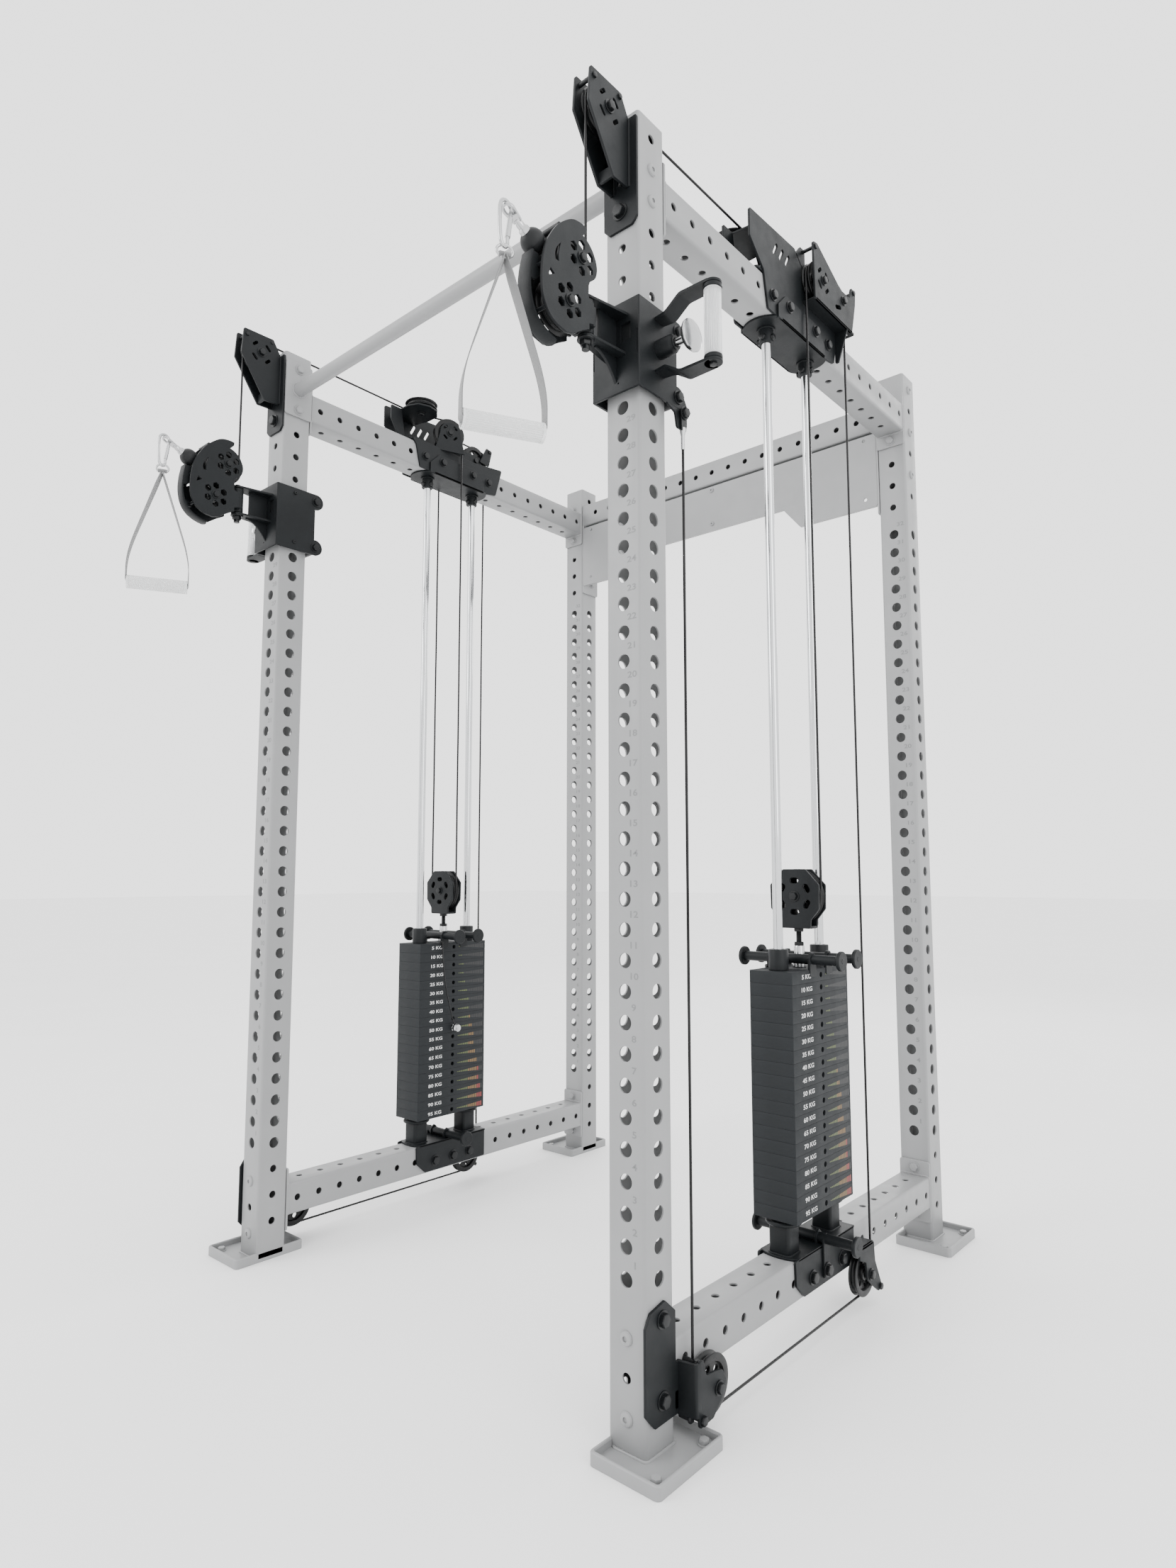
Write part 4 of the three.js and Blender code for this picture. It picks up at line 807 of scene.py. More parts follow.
def top_mid(s):
    z0, beam_top, cheek_x = TOP_Z - 37.5 - GAP, 2172.0, 9.6
    half = OUT0 + cheek_x - X_MID
    inside = [(436, z0 - 1), (421, 2160), (404, 2179), (650, 2179), (762, 2192), (736, z0 + 6), (700, z0 - 1)]
    outside = [(436, z0 - 1), (420, 2174), (366, 2222), (366, 2284), (556, 2294), (600, 2258),
               (602, 2202), (762, 2202), (736, z0 + 6), (700, z0 - 1)]
    cheek = [(471, z0 - 5), (471, 2121), (504, 2154), (648, 2154), (681, 2121), (681, z0 - 5)]
    gusset = [(OUT0 + 4, z0 + 10), (OUT0 + 12, z0 + 10), (652, 2182), (OUT0 + 4, 2182)]
    ear = [(588, 2180), (583, 2312), (603, 2316), (716, 2262), (762, 2264), (772, 2296), (793, 2290),
           (790, 2258), (770, 2180)]
    shelf = [(OUT0 + 1, 390), (OUT0 + 1, 470), (560, 484), (520, 484), (494, 462), (488, 430), (500, 398),
             (534, 384), (575, 386)]
    solids = [
        plate("z", z0 - 5, z0, half_oval(488, half, 40, 180) + half_oval(680, half, 32, 0),
              [circle(10.4, 24, (X_MID, y)) for y in ROD_Y], 0.7),
        sheet("x", IN0 - 5, inside, 6),
        sheet("x", OUT0, outside, 6, [slot((470 + 26 * k, 2246), 34, 8, 62) for k in range(3)]),
        sheet("x", OUT0 + 5.2, cheek, 2, thick=4.4),
        sheet("x", IN0 - cheek_x, cheek, 2, thick=4.4),
        plate("z", beam_top + GAP, beam_top + GAP + 5, rectangle(IN0 - 1, OUT0 + 1, 400, 700, 4), bevel=0.6),
        sheet("z", 2180, [(OUT0, 588), (652, 588), (652, 782), (622, 782), (OUT0, 766)], 5,
              [circle(9, 24, (OUTER_X, 768))], 0.6),
        sheet("y", 744, gusset, 3, bevel=0.5),
        sheet("x", EAR_X, ear, 6, cross_holes(OVER_FRONT, 24, 8) + [slot((700, 2212), 30, 10, 20)]),
        sheet("x", OUT0 + 5, [(600, 2184), (600, 2256), (745, 2256), (766, 2190)], 5, bevel=0.5, thick=3),
        sheet("x", OUT0, [(740, 2240), (770, 2296), (793, 2290), (780, 2236)], 4, bevel=0.5),
        sheet("x", OUT0, [(560, 2285), (583, 2312), (603, 2312), (603, 2250)], 4, bevel=0.5),
        sheet("z", TOP_RUN_Z - 17, shelf, 8),
        sheet("x", 562, [(350, 2222), (350, 2262), (386, 2262), (400, 2174), (380, 2174)], 4, bevel=0.5),
    ]
    fork = arc((0, DROP.z), 32, 180, 0, 16) + [(46, 2174), (-46, 2174)]
    canted = basis(SLANT_DIR, Z, SLANT_AXIS, Vector((DROP.x, DROP.y, 0)))
    solids += [moved(extruded(fork, 5, cross_holes((0, DROP.z), 22, 6), 0.7, w), canted) for w in (-17, 12)]
    for y in ROD_Y:
        solids += [ring(Z, (X_MID, y, z0 - 20.5), 15.5, 10.2, 31, 1.0, 40),
            ring(Z, (X_MID, y, z0 - 7), 20, 10.2, 4, 0.8, 40)]
    s.add("top_mid_frame_*", solids, "rack", ON_BRACKET, "top_mid_bracket_*")
    bolts = []
    for y, lift in ((456, 5), (518, cheek_x), (637, cheek_x), (705, 5)):
        bolts += [hex_bolt(X, (OUT0 + lift, y, 2134), 10, 7), hex_bolt(-X, (IN0 - lift, y, 2134), 10, 7)]
    for y in ROD_Y:
        bolts += [hex_bolt(d, Vector((X_MID, y, 2070)) + d * 15, 7, 6, False) for d in (X, -X, -Y)]
    for place in (OVER_FRONT, OVER_REAR):
        bolts += [outer_axle(place, (8.5, 6)), spacer(X, (OUTER_X + 12.6, *place), 6.4)]
    for place in ((592, 2303), (782, 2286)):
        bolts += [outer_axle(place, (6, 4, False), 4), hex_bolt(-X, (OUT0, *place), 6, 4, False)]
    bolts += [
        rod(Z, (TURN.x, TURN.y, TOP_RUN_Z - 2), AXLE_R, 28),
        hex_bolt(Z, (TURN.x, TURN.y, TOP_RUN_Z + 9.2), 10, 7),
        hex_bolt(-Z, (TURN.x, TURN.y, TOP_RUN_Z - 17), 9, 6),
        spacer(Z, (TURN.x, TURN.y, TOP_RUN_Z - 10.6), 2.8, 12),
        rod(SLANT_AXIS, DROP, AXLE_R, 34),
    ]
    for d in (-SLANT_AXIS, SLANT_AXIS):
        bolts += [hex_bolt(d, DROP + d * 17, 9, 6), spacer(SLANT_AXIS, DROP + d * 10.6, 2.8)]
    s.add("top_mid_bolts_*", bolts, "rack", BOLTS)


# ---- brackets at the bottom --------------------------------------------------------------------------------
def peg(y, z):
    """A band peg: a bar with a round stop and an end screw at both ends."""
    solids = [rod(X, (X_MID, y, z), 10, 222, 0.5)]
    for sign in (-1, 1):
        x = X_MID + sign * 112
        solids += [rod(X, (x, y, z), 20, 8, 1.6, 44), rod(X, (x + sign * 3.6, y, z), 6, 1.6, 0.5, 6)]
    return solids


def base(s):
    top, foot_z = LOW_Z + 37.5 + GAP, 230
    saddle = [(IN0 - 5, 478)] + half_oval(482, 41, 15, 180) + [(OUT0 + 5, 478), (OUT0 + 5, 718),
        (IN0 - 5, 718)]
    side = [(466, top + 4), (468, 121), (498, 93), (716, 93), (716, top + 4)]
    lug = [(573, top + 3), (571, 182), (585, 195), (599, 182), (597, top + 3)]
    arm = [(676, 137), (676, 114), (704, 104), (710, 66), (762, 29), (778, 36), (748, 96), (744, 137)]
    solids = [
        plate("z", top, top + 5, saddle, bevel=0.7),
        [sheet("x", x, side, 5, bevel=0.8) for x in (OUT0, IN0 - 5)],
        peg(STACK_Y, 178),
        [sheet("x", x, lug, 4, bevel=0.5) for x in (X_MID - 30, X_MID + 26)],
        sheet("x", OUT0 + 5, [(573, 104), (573, 176), (585, 193), (597, 176), (597, 104)], 6, thick=4.4),
        sheet("z", 132, [(OUT0 + 1, 676), (652, 676), (652, 744), (OUT0 + 1, 744)], 5, bevel=0.5),
        sheet("x", EAR_X, arm, 7, bevel=0.8),
        sheet("x", OUT0 + 1, [(700, 120), (706, 56), (740, 56), (744, 137), (700, 137)], 6, bevel=0.5,
            thick=4),
    ]
    for y in ROD_Y:
        column = rectangle(X_MID - 23, X_MID + 23, y - 23, y + 23, 8, 6)
        solids += [
            plate("z", top + 4, 225, column, [circle(10.4, 24, (X_MID, y))], 0.6),
            ring(Z, (X_MID, y, foot_z - 3.2), 36, 10.4, 7.6, 2.0, 48),
            ring(Z, (X_MID, y, foot_z), 24, 10.4, 2.0, 0.8, 48),
            bead("z", top + 5, rectangle(X_MID - 24, X_MID + 24, y - 24, y + 24, 9), 2.2),
        ]
    s.add("base_frame_*", solids, "rack", ON_BRACKET, "base_bracket_*")
    bolts = [hex_bolt(X, (OUT0 + lift, y, 119), 11, 8) for y, lift in ((532, 5), (STACK_Y, 9.4), (657, 5))]
    bolts += [hex_bolt(-X, (IN0 - 5, y, 119), 11, 8) for y in (532, 597, 657)]
    bolts += [
        outer_axle(BASE_AXLE, (9, 6)), spacer(X, (OUTER_X + 12.6, *BASE_AXLE), 6.4),
        rod(X, (OUTER_X + 12, 770, 37), 5, 26), hex_bolt(X, (EAR_X + 5, 770, 37), 7, 5, False),
    ]
    s.add("base_bolts_*", bolts, "rack", BOLTS)


def floor_bracket(s):
    main = [(18, 52), (-6, 78), (-6, 206), (8, 226), (46, 234), (73, 211), (73, 133), (84, 128), (84, 52)]
    web = [(OUT0, 79), (OUT0 + 6, 78), (EAR_X, 84)] + arc((EAR_X, 89), 5, -80, 0, 6)
    web += [(EAR_X + 5, 98), (EAR_X, 98), (EAR_X, 90), (OUT0, 85)]
    ear = [(91, 131), (104, 134), (110, 118), (113, 106), (140, 103), (160, 98), (171, 80), (160, 58),
           (132, 34), (94, 32), (91, 50)]
    solids = [
        sheet("x", OUT0, main, 3, bevel=0.8), plate("z", 50, 131, web, bevel=0.6),
        sheet("x", EAR_X + 0.12, ear, 5, bevel=0.8, thick=4.76),
        sheet("x", OUT0, [(70, 60), (70, 88), (146, 88), (160, 74), (146, 60)], 4, bevel=0.5),
    ]
    s.add("floor_frame_*", solids, "rack", ON_BRACKET, "floor_bracket_*")
    bolts = [hex_bolt(X, (OUT0 + 5, POST_Y, z), 11, 8) for z in (208, 87)]
    bolts += [
        outer_axle(FLOOR_AXLE, (9, 6)), spacer(X, (OUTER_X + 12.6, *FLOOR_AXLE), 6.4),
        rod(X, ((OUT0 + EAR_X) / 2 + 4, 102, 42), 4.5, EAR_X - OUT0),
        hex_bolt(X, (EAR_X + 5, 102, 42), 8, 6, False),
        rod(X, (OUT0 + 14, 101, 124), 6, 26), hex_bolt(X, (OUT0 + 22, 101, 124), 8.5, 7, False),
        rod(X, (OUT0 + 12, 88, 46), 5, 22), hex_bolt(X, (OUT0 + 20, 88, 46), 7.5, 6, False),
    ]
    s.add("floor_bolts_*", bolts, "rack", BOLTS)


# ---- weights -----------------------------------------------------------------------------------------------
STACK_IN, STACK_OUT = 529.0, 626.0
WEIGHT_H, STACK_TOP, COUNT, LIFTED = 25.3, 716.0, 19, 10
PICKED_Z = STACK_TOP - (LIFTED - 0.5) * WEIGHT_H
INK_STEPS = 14


def weight_scale(z, share, face_x, out):
    """The printed wedge on a weight's end face: bars that grow, filled up to share of the way."""
    rows = []
    for k in range(INK_STEPS):
        a, b = k / INK_STEPS, (k + 0.78) / INK_STEPS
        y0, y1 = 603 + 96 * a, 603 + 96 * b
        h0, h1 = 1.0 + 8.5 * a, 1.0 + 8.5 * b
        corners = [(y0, z - h0 * 0.9), (y1, z - h1 * 0.9), (y1, z + h1 * 0.5), (y0, z + h0 * 0.5)]
        quad = on_face("x", face_x + out * 0.12, corners)
        colour = 0 if a > share else 1 if a < 0.42 else 2 if a < 0.72 else 3
        rows.append((quad if out > 0 else quad[::-1], colour))
    return rows


def weights(s):
    holes = [circle(12, 24, (X_MID, y)) for y in ROD_Y] + [circle(12.5, 24, (X_MID, STACK_Y))]
    slab = plate("z", 0.15, WEIGHT_H - 0.15, rectangle(STACK_IN, STACK_OUT, 463.5, 706.5, 2.0), holes, 0.3)
    shared = carve(s.mesh(slab), s.mesh(rod(X, (X_MID, STACK_Y, WEIGHT_H / 2), 5.6, 130, 0.01, 20)))
    dress(shared, WEIGHT_PAINT, 30)
    spans = (("lifted", range(LIFTED), "lifted_weights_*"), ("resting", range(LIFTED, COUNT), "rack"))
    for part, span, body in spans:
        for i in span:
            s.place(f"weight_{5 * (i + 1):02d}_*", shared, body, "weight_paint", f"weights_{part}_*",
                    STACK_TOP - (i + 1) * WEIGHT_H)
    for part, span, body in spans:
        words, quads, inks = [], [], []
        for i in span:
            z, kilos = STACK_TOP - (i + 0.5) * WEIGHT_H, 5 * (i + 1)
            for out, face_x in ((1, STACK_OUT), (-1, STACK_IN)):
                centre = Vector((face_x + out * 0.06, STACK_Y - 62, z))
                words.append(printed(f"{kilos} KG", 12.5, centre, Y * out * s.sign, 1.45, 0.2))
                for quad, colour in weight_scale(z, kilos / (5 * COUNT), face_x, out):
                    quads.append((quad, [(0, 1, 2, 3)]))
                    inks.append(colour)
        s.add(f"weight_labels_{part}_*", words, body, (LABEL, "weight_paint"))
        piece = s.add(f"weight_scales_{part}_*", quads, body, (SCALE_INKS, "weight_paint"))
        piece.data.polygons.foreach_set("material_index", inks)


def lift_gear(s):
    body, peg_z, middle = "lifted_weights_*", STACK_TOP + 20, (X_MID, STACK_Y, 0)
    solids = []
    for y in (STACK_Y - 35, STACK_Y + 35):
        lug = [(y - 13, STACK_TOP - 14), (y - 13, peg_z + 4), (y - 6, peg_z + 14), (y + 6, peg_z + 14),
               (y + 13, peg_z + 4), (y + 13, STACK_TOP - 14)]
        solids += [peg(y, peg_z), [sheet("x", X_MID + x, lug, 4, thick=6) for x in (-50.5, 44.2)]]
    bushing = [(12, 0), (19.4, 0), (20, 0.8), (20, 40), (19, 41.6), (16, 42), (12, 42), (12, 0)]
    solids += [lathe(bushing, Z, (X_MID, y, STACK_TOP + 0.2), 48) for y in ROD_Y]
    s.add("stack_top_*", solids, body, (BLACK_PAINT, "weight_paint"), "weights_lifted_*")
    right = [(36, 797), (37, 815), (56, 838), (57, 888), (26, 921)]
    outline = ([(X_MID - 36, 797)] + [(X_MID + p, z) for p, z in right]
               + [(X_MID - p, z) for p, z in right[:0:-1]])
    cuts = [slot(polar((X_MID, LIFT_Z), 33, a), 20, 12, a + 90) for a in range(30, 390, 60)]
    cheeks = [sheet("y", STACK_Y + y, outline, 5, cuts, 0.9) for y in (-17, 12)]
    cheeks.append(pad(X_MID - 36, X_MID + 36, STACK_Y - 12.5, STACK_Y + 12.5, 797, 802.5))
    s.add("lift_cheeks_*", cheeks, body, ON_BRACKET)
    sleeve = [(0, 716), (12.6, 716), (13.4, 717), (13.4, 728), (11, 730), (11, 758), (10, 760.5), (0, 760.5)]
    s.add("adjuster_sleeve_*", lathe(sleeve, Z, middle, 36), body, ON_PIN)
    thread = [(0, 740)] + [(6.0 - 0.7 * (k % 2), 740 + 1.25 * k) for k in range(1, 45)] + [(0, 797)]
    axle = Vector((X_MID, STACK_Y, LIFT_Z))
    bolts = [
        lathe(thread, Z, middle, 20), hex_bolt(Z, (X_MID, STACK_Y, 761), 11, 8, False),
        hex_bolt(-Z, (X_MID, STACK_Y, 797), 11, 8, False), rod(Y, axle, AXLE_R, 34),
        rod(Z, (X_MID, STACK_Y, 362), 11, 205),
        [[hex_bolt(d, axle + d * 17, 9, 6), spacer(Y, axle + d * 10.6, 2.8)] for d in (Y, -Y)],
    ]
    s.add("lift_bolts_*", bolts, body, BOLTS)


def selector(s):
    knob = [(0, -24), (5, -23.8), (9.5, -22), (12, -17), (11.5, -12.5), (8, -9.5), (6.4, -8), (6.4, -2),
            (8.6, -1.4), (8.6, 0), (0, 0)]
    solids = [rod(X, (STACK_IN + 30, STACK_Y, PICKED_Z), 5, 61, 1.5),
              lathe(knob, X, (STACK_IN - 1.2, STACK_Y, PICKED_Z), 36)]
    s.add("selector_knob_*", solids, "selector_pin_*", ON_PIN, "selector_pin_*")


def lanyard(s):
    a = Vector((STACK_IN - 3, STACK_Y - 46, STACK_TOP + 2))
    b = Vector((STACK_IN - 9, STACK_Y, PICKED_Z))
    path = [a.lerp(b, t) - (Y * 16 + X * 6) * math.sin(math.pi * t) for t in (k / 24 for k in range(25))]
    loop = swept([b + Y * p + Z * q for p, q in circle(8, 16)], circle(1.5, 8), closed=True)
    cord = [swept(path, circle(1.6, 8)), loop, rod(X, a, 4, 6)]
    s.add("pin_lanyard_*", cord, "lifted_weights_*", (SHEATH, "cable_sheath"))


# ---- carriage ----------------------------------------------------------------------------------------------
LOW_ROLLER, HIGH_ROLLER = 1755, 1877


def pad(x0, x1, y0, y1, z0, z1):
    return plate("z", z0, z1, rectangle(x0, x1, y0, y1, 2.0, 3), bevel=1.0)


def grip_arm(z, bend, reach):
    """A flat bar from the sleeve to the side grip, bent over its middle."""
    run = ((1, 0, 13), (24, 0, 16), (28, 0.03, 17), (32, 0.12, 17), (55, 0.88, 17), (59, 0.97, 17),
        (63, 1, 17),
           (SIDE_GRIP[0] - reach, 1, 16))
    return loft([
        [Vector((reach + x, SIDE_GRIP[1] + w * p, z + bend * share + q))
         for p, q in ((-1, -2.5), (1, -2.5), (1, 2.5), (-1, 2.5))]
        for x, share, w in run
    ])


def carriage(s):
    body = "carriage_*"
    low, high, face = 1735.0, 1897.0, -20.0
    in0, out0 = X_IN - 10, X_OUT + 10
    x0, x1, r = in0 - 5, out0 + 5, 2.4
    sleeve = (
        [(x0, 114)] + arc((x0 + r, face + r), r, 180, 270, 4) + arc((x1 - r, face + r), r, 270, 360, 4)
        + [(x1, 114), (out0, 114), (out0, face + 5), (in0, face + 5), (in0, 114)]
    )
    lobes = (
        [(130, low - 10), (92, low - 10), (92, low - 0.01)] + arc((92, LOW_ROLLER), 20, -90, 100, 14)
        + arc((92, HIGH_ROLLER), 20, -100, 90, 14) + [(92, high + 10), (130, high + 10)]
    )
    openings = [plate("y", face - 3, face + 8, rectangle(x, x + 22, 1824, 1856, 2), bevel=0.01)
                for x in (543, 589)]
    openings += [
        plate("y", face - 3, face + 1.2, rectangle(x - 1.2, x + 1.2, 1793, 1836), bevel=0.01)
        for x in (529, 626)
    ]
    openings += [rod(Y, (584, face, z), 1.8, 4, 0.01, 12) for z in (1879, 1752)]
    shell = carve(
        s.mesh(plate("z", low, high, sleeve, bevel=0.7)),
        s.mesh(plate("x", x0 - 10, x1 + 10, lobes, bevel=0.01)),
        s.mesh(openings),
    )
    s.finish("carriage_shell_*", shell, body, ON_BRACKET, "carriage_*", 28)
    tail = [(56, 1741), (62, 1733), (84, 1726), (90, 1700), (116, 1700), (120, 1712), (120, 1748),
            (110, 1764), (84, 1764), (64, 1758)]
    solids = [sheet("x", out0 + 0.3, tail, 5, bevel=0.8, thick=4.4)]
    for z, half in ((1867, 29), (1799, 23)):
        arm = ([(X_MID - half, face + 1)] + arc((X_MID, HINGE_Y), 14, 180, 360, 14)
               + [(X_MID + half, face + 1)])
        solids.append(plate("z", z, z + 5, arm, bevel=0.7))
    fin = ([(face + 1, 1799.5), (-74, 1799.5)]
           + [(-74 + (face + 75) * t, 1796 - 44 * t * t) for t in (k / 12 for k in range(13))])
    for web in (rectangle(-68, face + 1, 1803, 1868), fin):
        solids.append(plate("x", X_MID - 2.5, X_MID + 2.5, web, bevel=0.6))
    barrel = [(8.2, 0), (16.6, 0), (16.6, 34), (15.4, 36.5), (12.6, 39), (12.6, 41.5), (8.2, 41.5), (8.2, 0)]
    solids += [
        [rod(X, (X_MID, TUBE + 16.5, z), 14, out0 - in0, 1.2, 40) for z in (LOW_ROLLER, HIGH_ROLLER)],
        lathe(barrel, X, (out0, POST_Y, PIN_Z), 44),
        [[grip_arm(z, bend, out0), rod(Z, (*SIDE_GRIP, z + bend), 16, 5.0, 0.8, 40)]
         for z, bend in ((1872, 22), (1776, -20))],
        [rod(Z, (*SIDE_GRIP, z), 15.8, 8, 1.4, 40) for z in (1887.5, 1762.5)],
    ]
    s.add("carriage_arms_*", solids, body, ON_BRACKET)
    pads = [
        pad(548, 607, face + 5.6, -1.5, 1748, 1884), pad(in0 + 0.6, X_IN - 1.6, 8, 67, 1748, 1884),
        pad(X_OUT + 1.6, out0 - 0.6, 8, 67, 1748, 1798), pad(X_OUT + 1.6, out0 - 0.6, 8, 67, 1842, 1884),
    ]
    s.add("carriage_pads_*", pads, body, (RUBBER, "pulley_plastic"))
    s.add("carriage_grip_*", ribbed_grip(Z, (*SIDE_GRIP, 1825), 14.8, 7.0, 117, 4), body,
        (CLEAR, "pin_steel"))
    s.add("carriage_grip_core_*", rod(Z, (*SIDE_GRIP, 1825), 5.6, 120, 0.5), body, ON_PIN)
    bolts = [
        [hex_bolt(d, (x, TUBE + 16.5, z), 9.5, 7)
         for z in (LOW_ROLLER, HIGH_ROLLER) for d, x in ((-X, x0), (X, x1))],
        [button_bolt(-X, (x0, 30, z), 4.5) for z in (1753.5, 1883)],
        rod(Z, (X_MID, HINGE_Y, 1836), 6, 80), rod(Z, (X_MID, HINGE_Y, 1873.6), 8, 4.6, 0.8, 6),
        rod(Z, (X_MID, HINGE_Y, 1797.6), 15, 2.6), hex_bolt(-Z, (X_MID, HINGE_Y, 1797.4), 10.5, 9),
        rod(Z, (X_MID, HINGE_Y, 1784), 7, 8),
        hex_bolt(Z, (*SIDE_GRIP, 1896.5), 7, 4, False), hex_bolt(-Z, (*SIDE_GRIP, 1753.5), 7, 4, False),
        rod(X, (OUTER_X, ANCHOR_Y, 1729), 6, 22), hex_bolt(X, (634.4, ANCHOR_Y, 1729), 9, 7),
        sheet("x", 630.2, [(97, 1696), (111, 1696), (112, 1733), (104, 1742), (96, 1733)], 4, bevel=0.5,
            thick=4),
    ]
    s.add("carriage_bolts_*", bolts, body, BOLTS)
    ferrule = [(0, 1662), (3.2, 1662), (3.6, 1664), (3.6, 1688), (5.4, 1695), (5.6, 1702), (0, 1703)]
    s.add("cable_terminal_*", lathe(ferrule, Z, (OUTER_X, ANCHOR_Y, 0), 28), body, ON_PIN)


def pull_pin(s):
    shank = [(0, 0), (6.2, 0), (7.4, 1.5), (7.4, 66), (6, 68), (6, 74), (0, 74)]
    knob = [(0, 69), (9, 69.4), (16, 71.5), (23, 75.5), (27.2, 80), (28, 83.4), (27, 85.4), (22, 87.4),
            (12, 89), (0, 89.4)]
    start = (X_OUT + 0.8, POST_Y, PIN_Z)
    s.add("pull_knob_*", [lathe(shank, X, start, 36), lathe(knob, X, start, 56)], "pull_pin_*", ON_PIN,
        "pull_pin_*")


# ---- swivel head -------------------------------------------------------------------------------------------
def strip(path, half, thick, tip):
    """A curved strip of sheet along a path in the YZ plane, rounded in plan over the last tip millimetres."""
    rings = []
    for i, p in enumerate(path):
        tangent = (path[min(len(path) - 1, i + 1)] - path[max(0, i - 1)]).normalized()
        normal = X.cross(tangent)
        left = (path[-1] - p).length
        w = half if left >= tip else half - tip + math.sqrt(tip * tip - (tip - left) ** 2)
        t = thick / 2
        section = [(-t, 2 - w), (1 - t, -w), (t - 1, -w), (t, 2 - w), (t, w - 2), (t - 1, w), (1 - t, w),
                   (-t, w - 2)]
        rings.append([p + normal * a + X * b for a, b in section])
    return loft(rings)


def head(s):
    points = [(-164, 1964), (-143, 1970), (-125, 1969), (-126, 1961), (-135, 1951), (-121, 1945),
              (-108, 1932), (-100, 1912), (-104, 1892), (-119, 1877), (-121, 1862), (-120, 1850),
              (-108, 1846), (-108, 1809), (-119, 1806), (-119, 1796), (-136, 1786), (-159, 1770),
              (-174, 1766), (-199, 1771), (-215, 1781), (-227, 1801), (-231, 1824), (-230, 1855),
              (-224, 1887), (-211, 1914), (-192, 1941)]
    outline = smooth(points, (2, 4, 10, 12, 13, 14, 15, 17, 18), 4)
    hexes = [circle(8.2, 6, polar(axle, 22.6, a), 90)
             for axle in (HEAD_UP, HEAD_LOW) for a in range(30, 390, 60)]
    fang = smooth([(-189, 1909), (-197, 1899), (-201.5, 1886), (-200, 1876), (-193, 1876), (-194, 1887),
                   (-192, 1898)], (0, 3, 4), 4)
    wedge = [(-212, 1856), (-216, 1842), (-203, 1850)]
    bend = [(-235, 1881), (-240, 1853), (-241.5, 1829), (-240, 1811), (-235.5, 1793), (-227, 1778),
            (-215, 1767.5), (-198, 1759.5), (-177, 1755)]
    band = smooth(bend, (0, len(bend) - 1), 6)[:6 * len(bend) - 5]
    tab = [(-236, 1879), (-240, 1850), (-240, 1832), (-228, 1834), (-215, 1852), (-217, 1866), (-224, 1880)]
    solids = [
        [plate("x", x, x + 5, outline, hexes + [fang, wedge], 0.8) for x in (X_MID - 27.5, X_MID + 22.5)],
        strip(on_face("x", X_MID, band), 12.5, 4.6, 8.0),
        [sheet("x", x, tab, 4, bevel=0.5, thick=4) for x in (X_MID - 12, X_MID + 8)],
        sheet("x", X_MID - 3, [(-236, 1799), (-231, 1784), (-213, 1784), (-213, 1796)], 3, bevel=0.5,
            thick=6),
        [rod(X, (X_MID, y, z), 3.4, 46) for y, z in ((-225, 1859), (-218, 1790))],
        ring(Z, (X_MID, HINGE_Y, 1835.5), 13.8, 7.2, 60, 1.0, 40),
        [plate("x", x, x + 10, rectangle(-112, HINGE_Y, 1811, 1845, 2)) for x in (X_MID - 23, X_MID + 13)],
    ]
    s.add("head_frame_*", solids, "swivel_head_*", ON_BRACKET, "arm_head_*")
    bolts = [rod(X, (X_MID, -186, 1944), 5, 46)]
    for axle in (HEAD_UP, HEAD_LOW):
        bolts.append(rod(X, (X_MID, *axle), AXLE_R, 56))
        for sign in (-1, 1):
            bolts += [hex_bolt(sign * X, (X_MID + sign * 27.5, *axle), 8, 5),
                spacer(X, (X_MID + sign * 15.8, *axle), 13)]
    s.add("head_bolts_*", bolts, "swivel_head_*", BOLTS)


# ---- cable stop, carabiner and handle ----------------------------------------------------------------------
def eye_plate():
    """The flat eye at the end of the cable: a stamped tab with an oblong hole."""
    outline = [(-20, -8), (-20, 8), (2, 11.5)] + arc((2, 0), 11.5, 80, -80, 16) + [(2, -11.5)]
    tab = extruded(outline, 4.6, [slot((2, 0), 15, 12.5, 0, 10)], 1.2, -2.3)
    return moved(tab, basis(EXIT_DIR, X, EXIT_DIR.cross(X), BALL + EXIT_DIR * 55.5))


def ribbed_grip(direction, centre, radius, bore, length, collar):
    """A hollow grip with ribs along it and a plain collar at each end."""
    d = Vector(direction).normalized()
    u = d.orthogonal().normalized()
    ribs = [polar((0, 0), radius - (1.0 if k % 2 else 0.1), 360 * k / 56) for k in range(56)]
    middle = length - 2 * collar + 1
    grip = extruded(ribs, middle, [circle(bore, 32)], 0.3, -middle / 2)
    collars = [ring(d, Vector(centre) + d * sign * (length - collar) / 2, radius + 0.2, bore, collar, 0.8, 48)
               for sign in (-1, 1)]
    return [moved(grip, basis(u, d.cross(u), d, Vector(centre)))] + collars


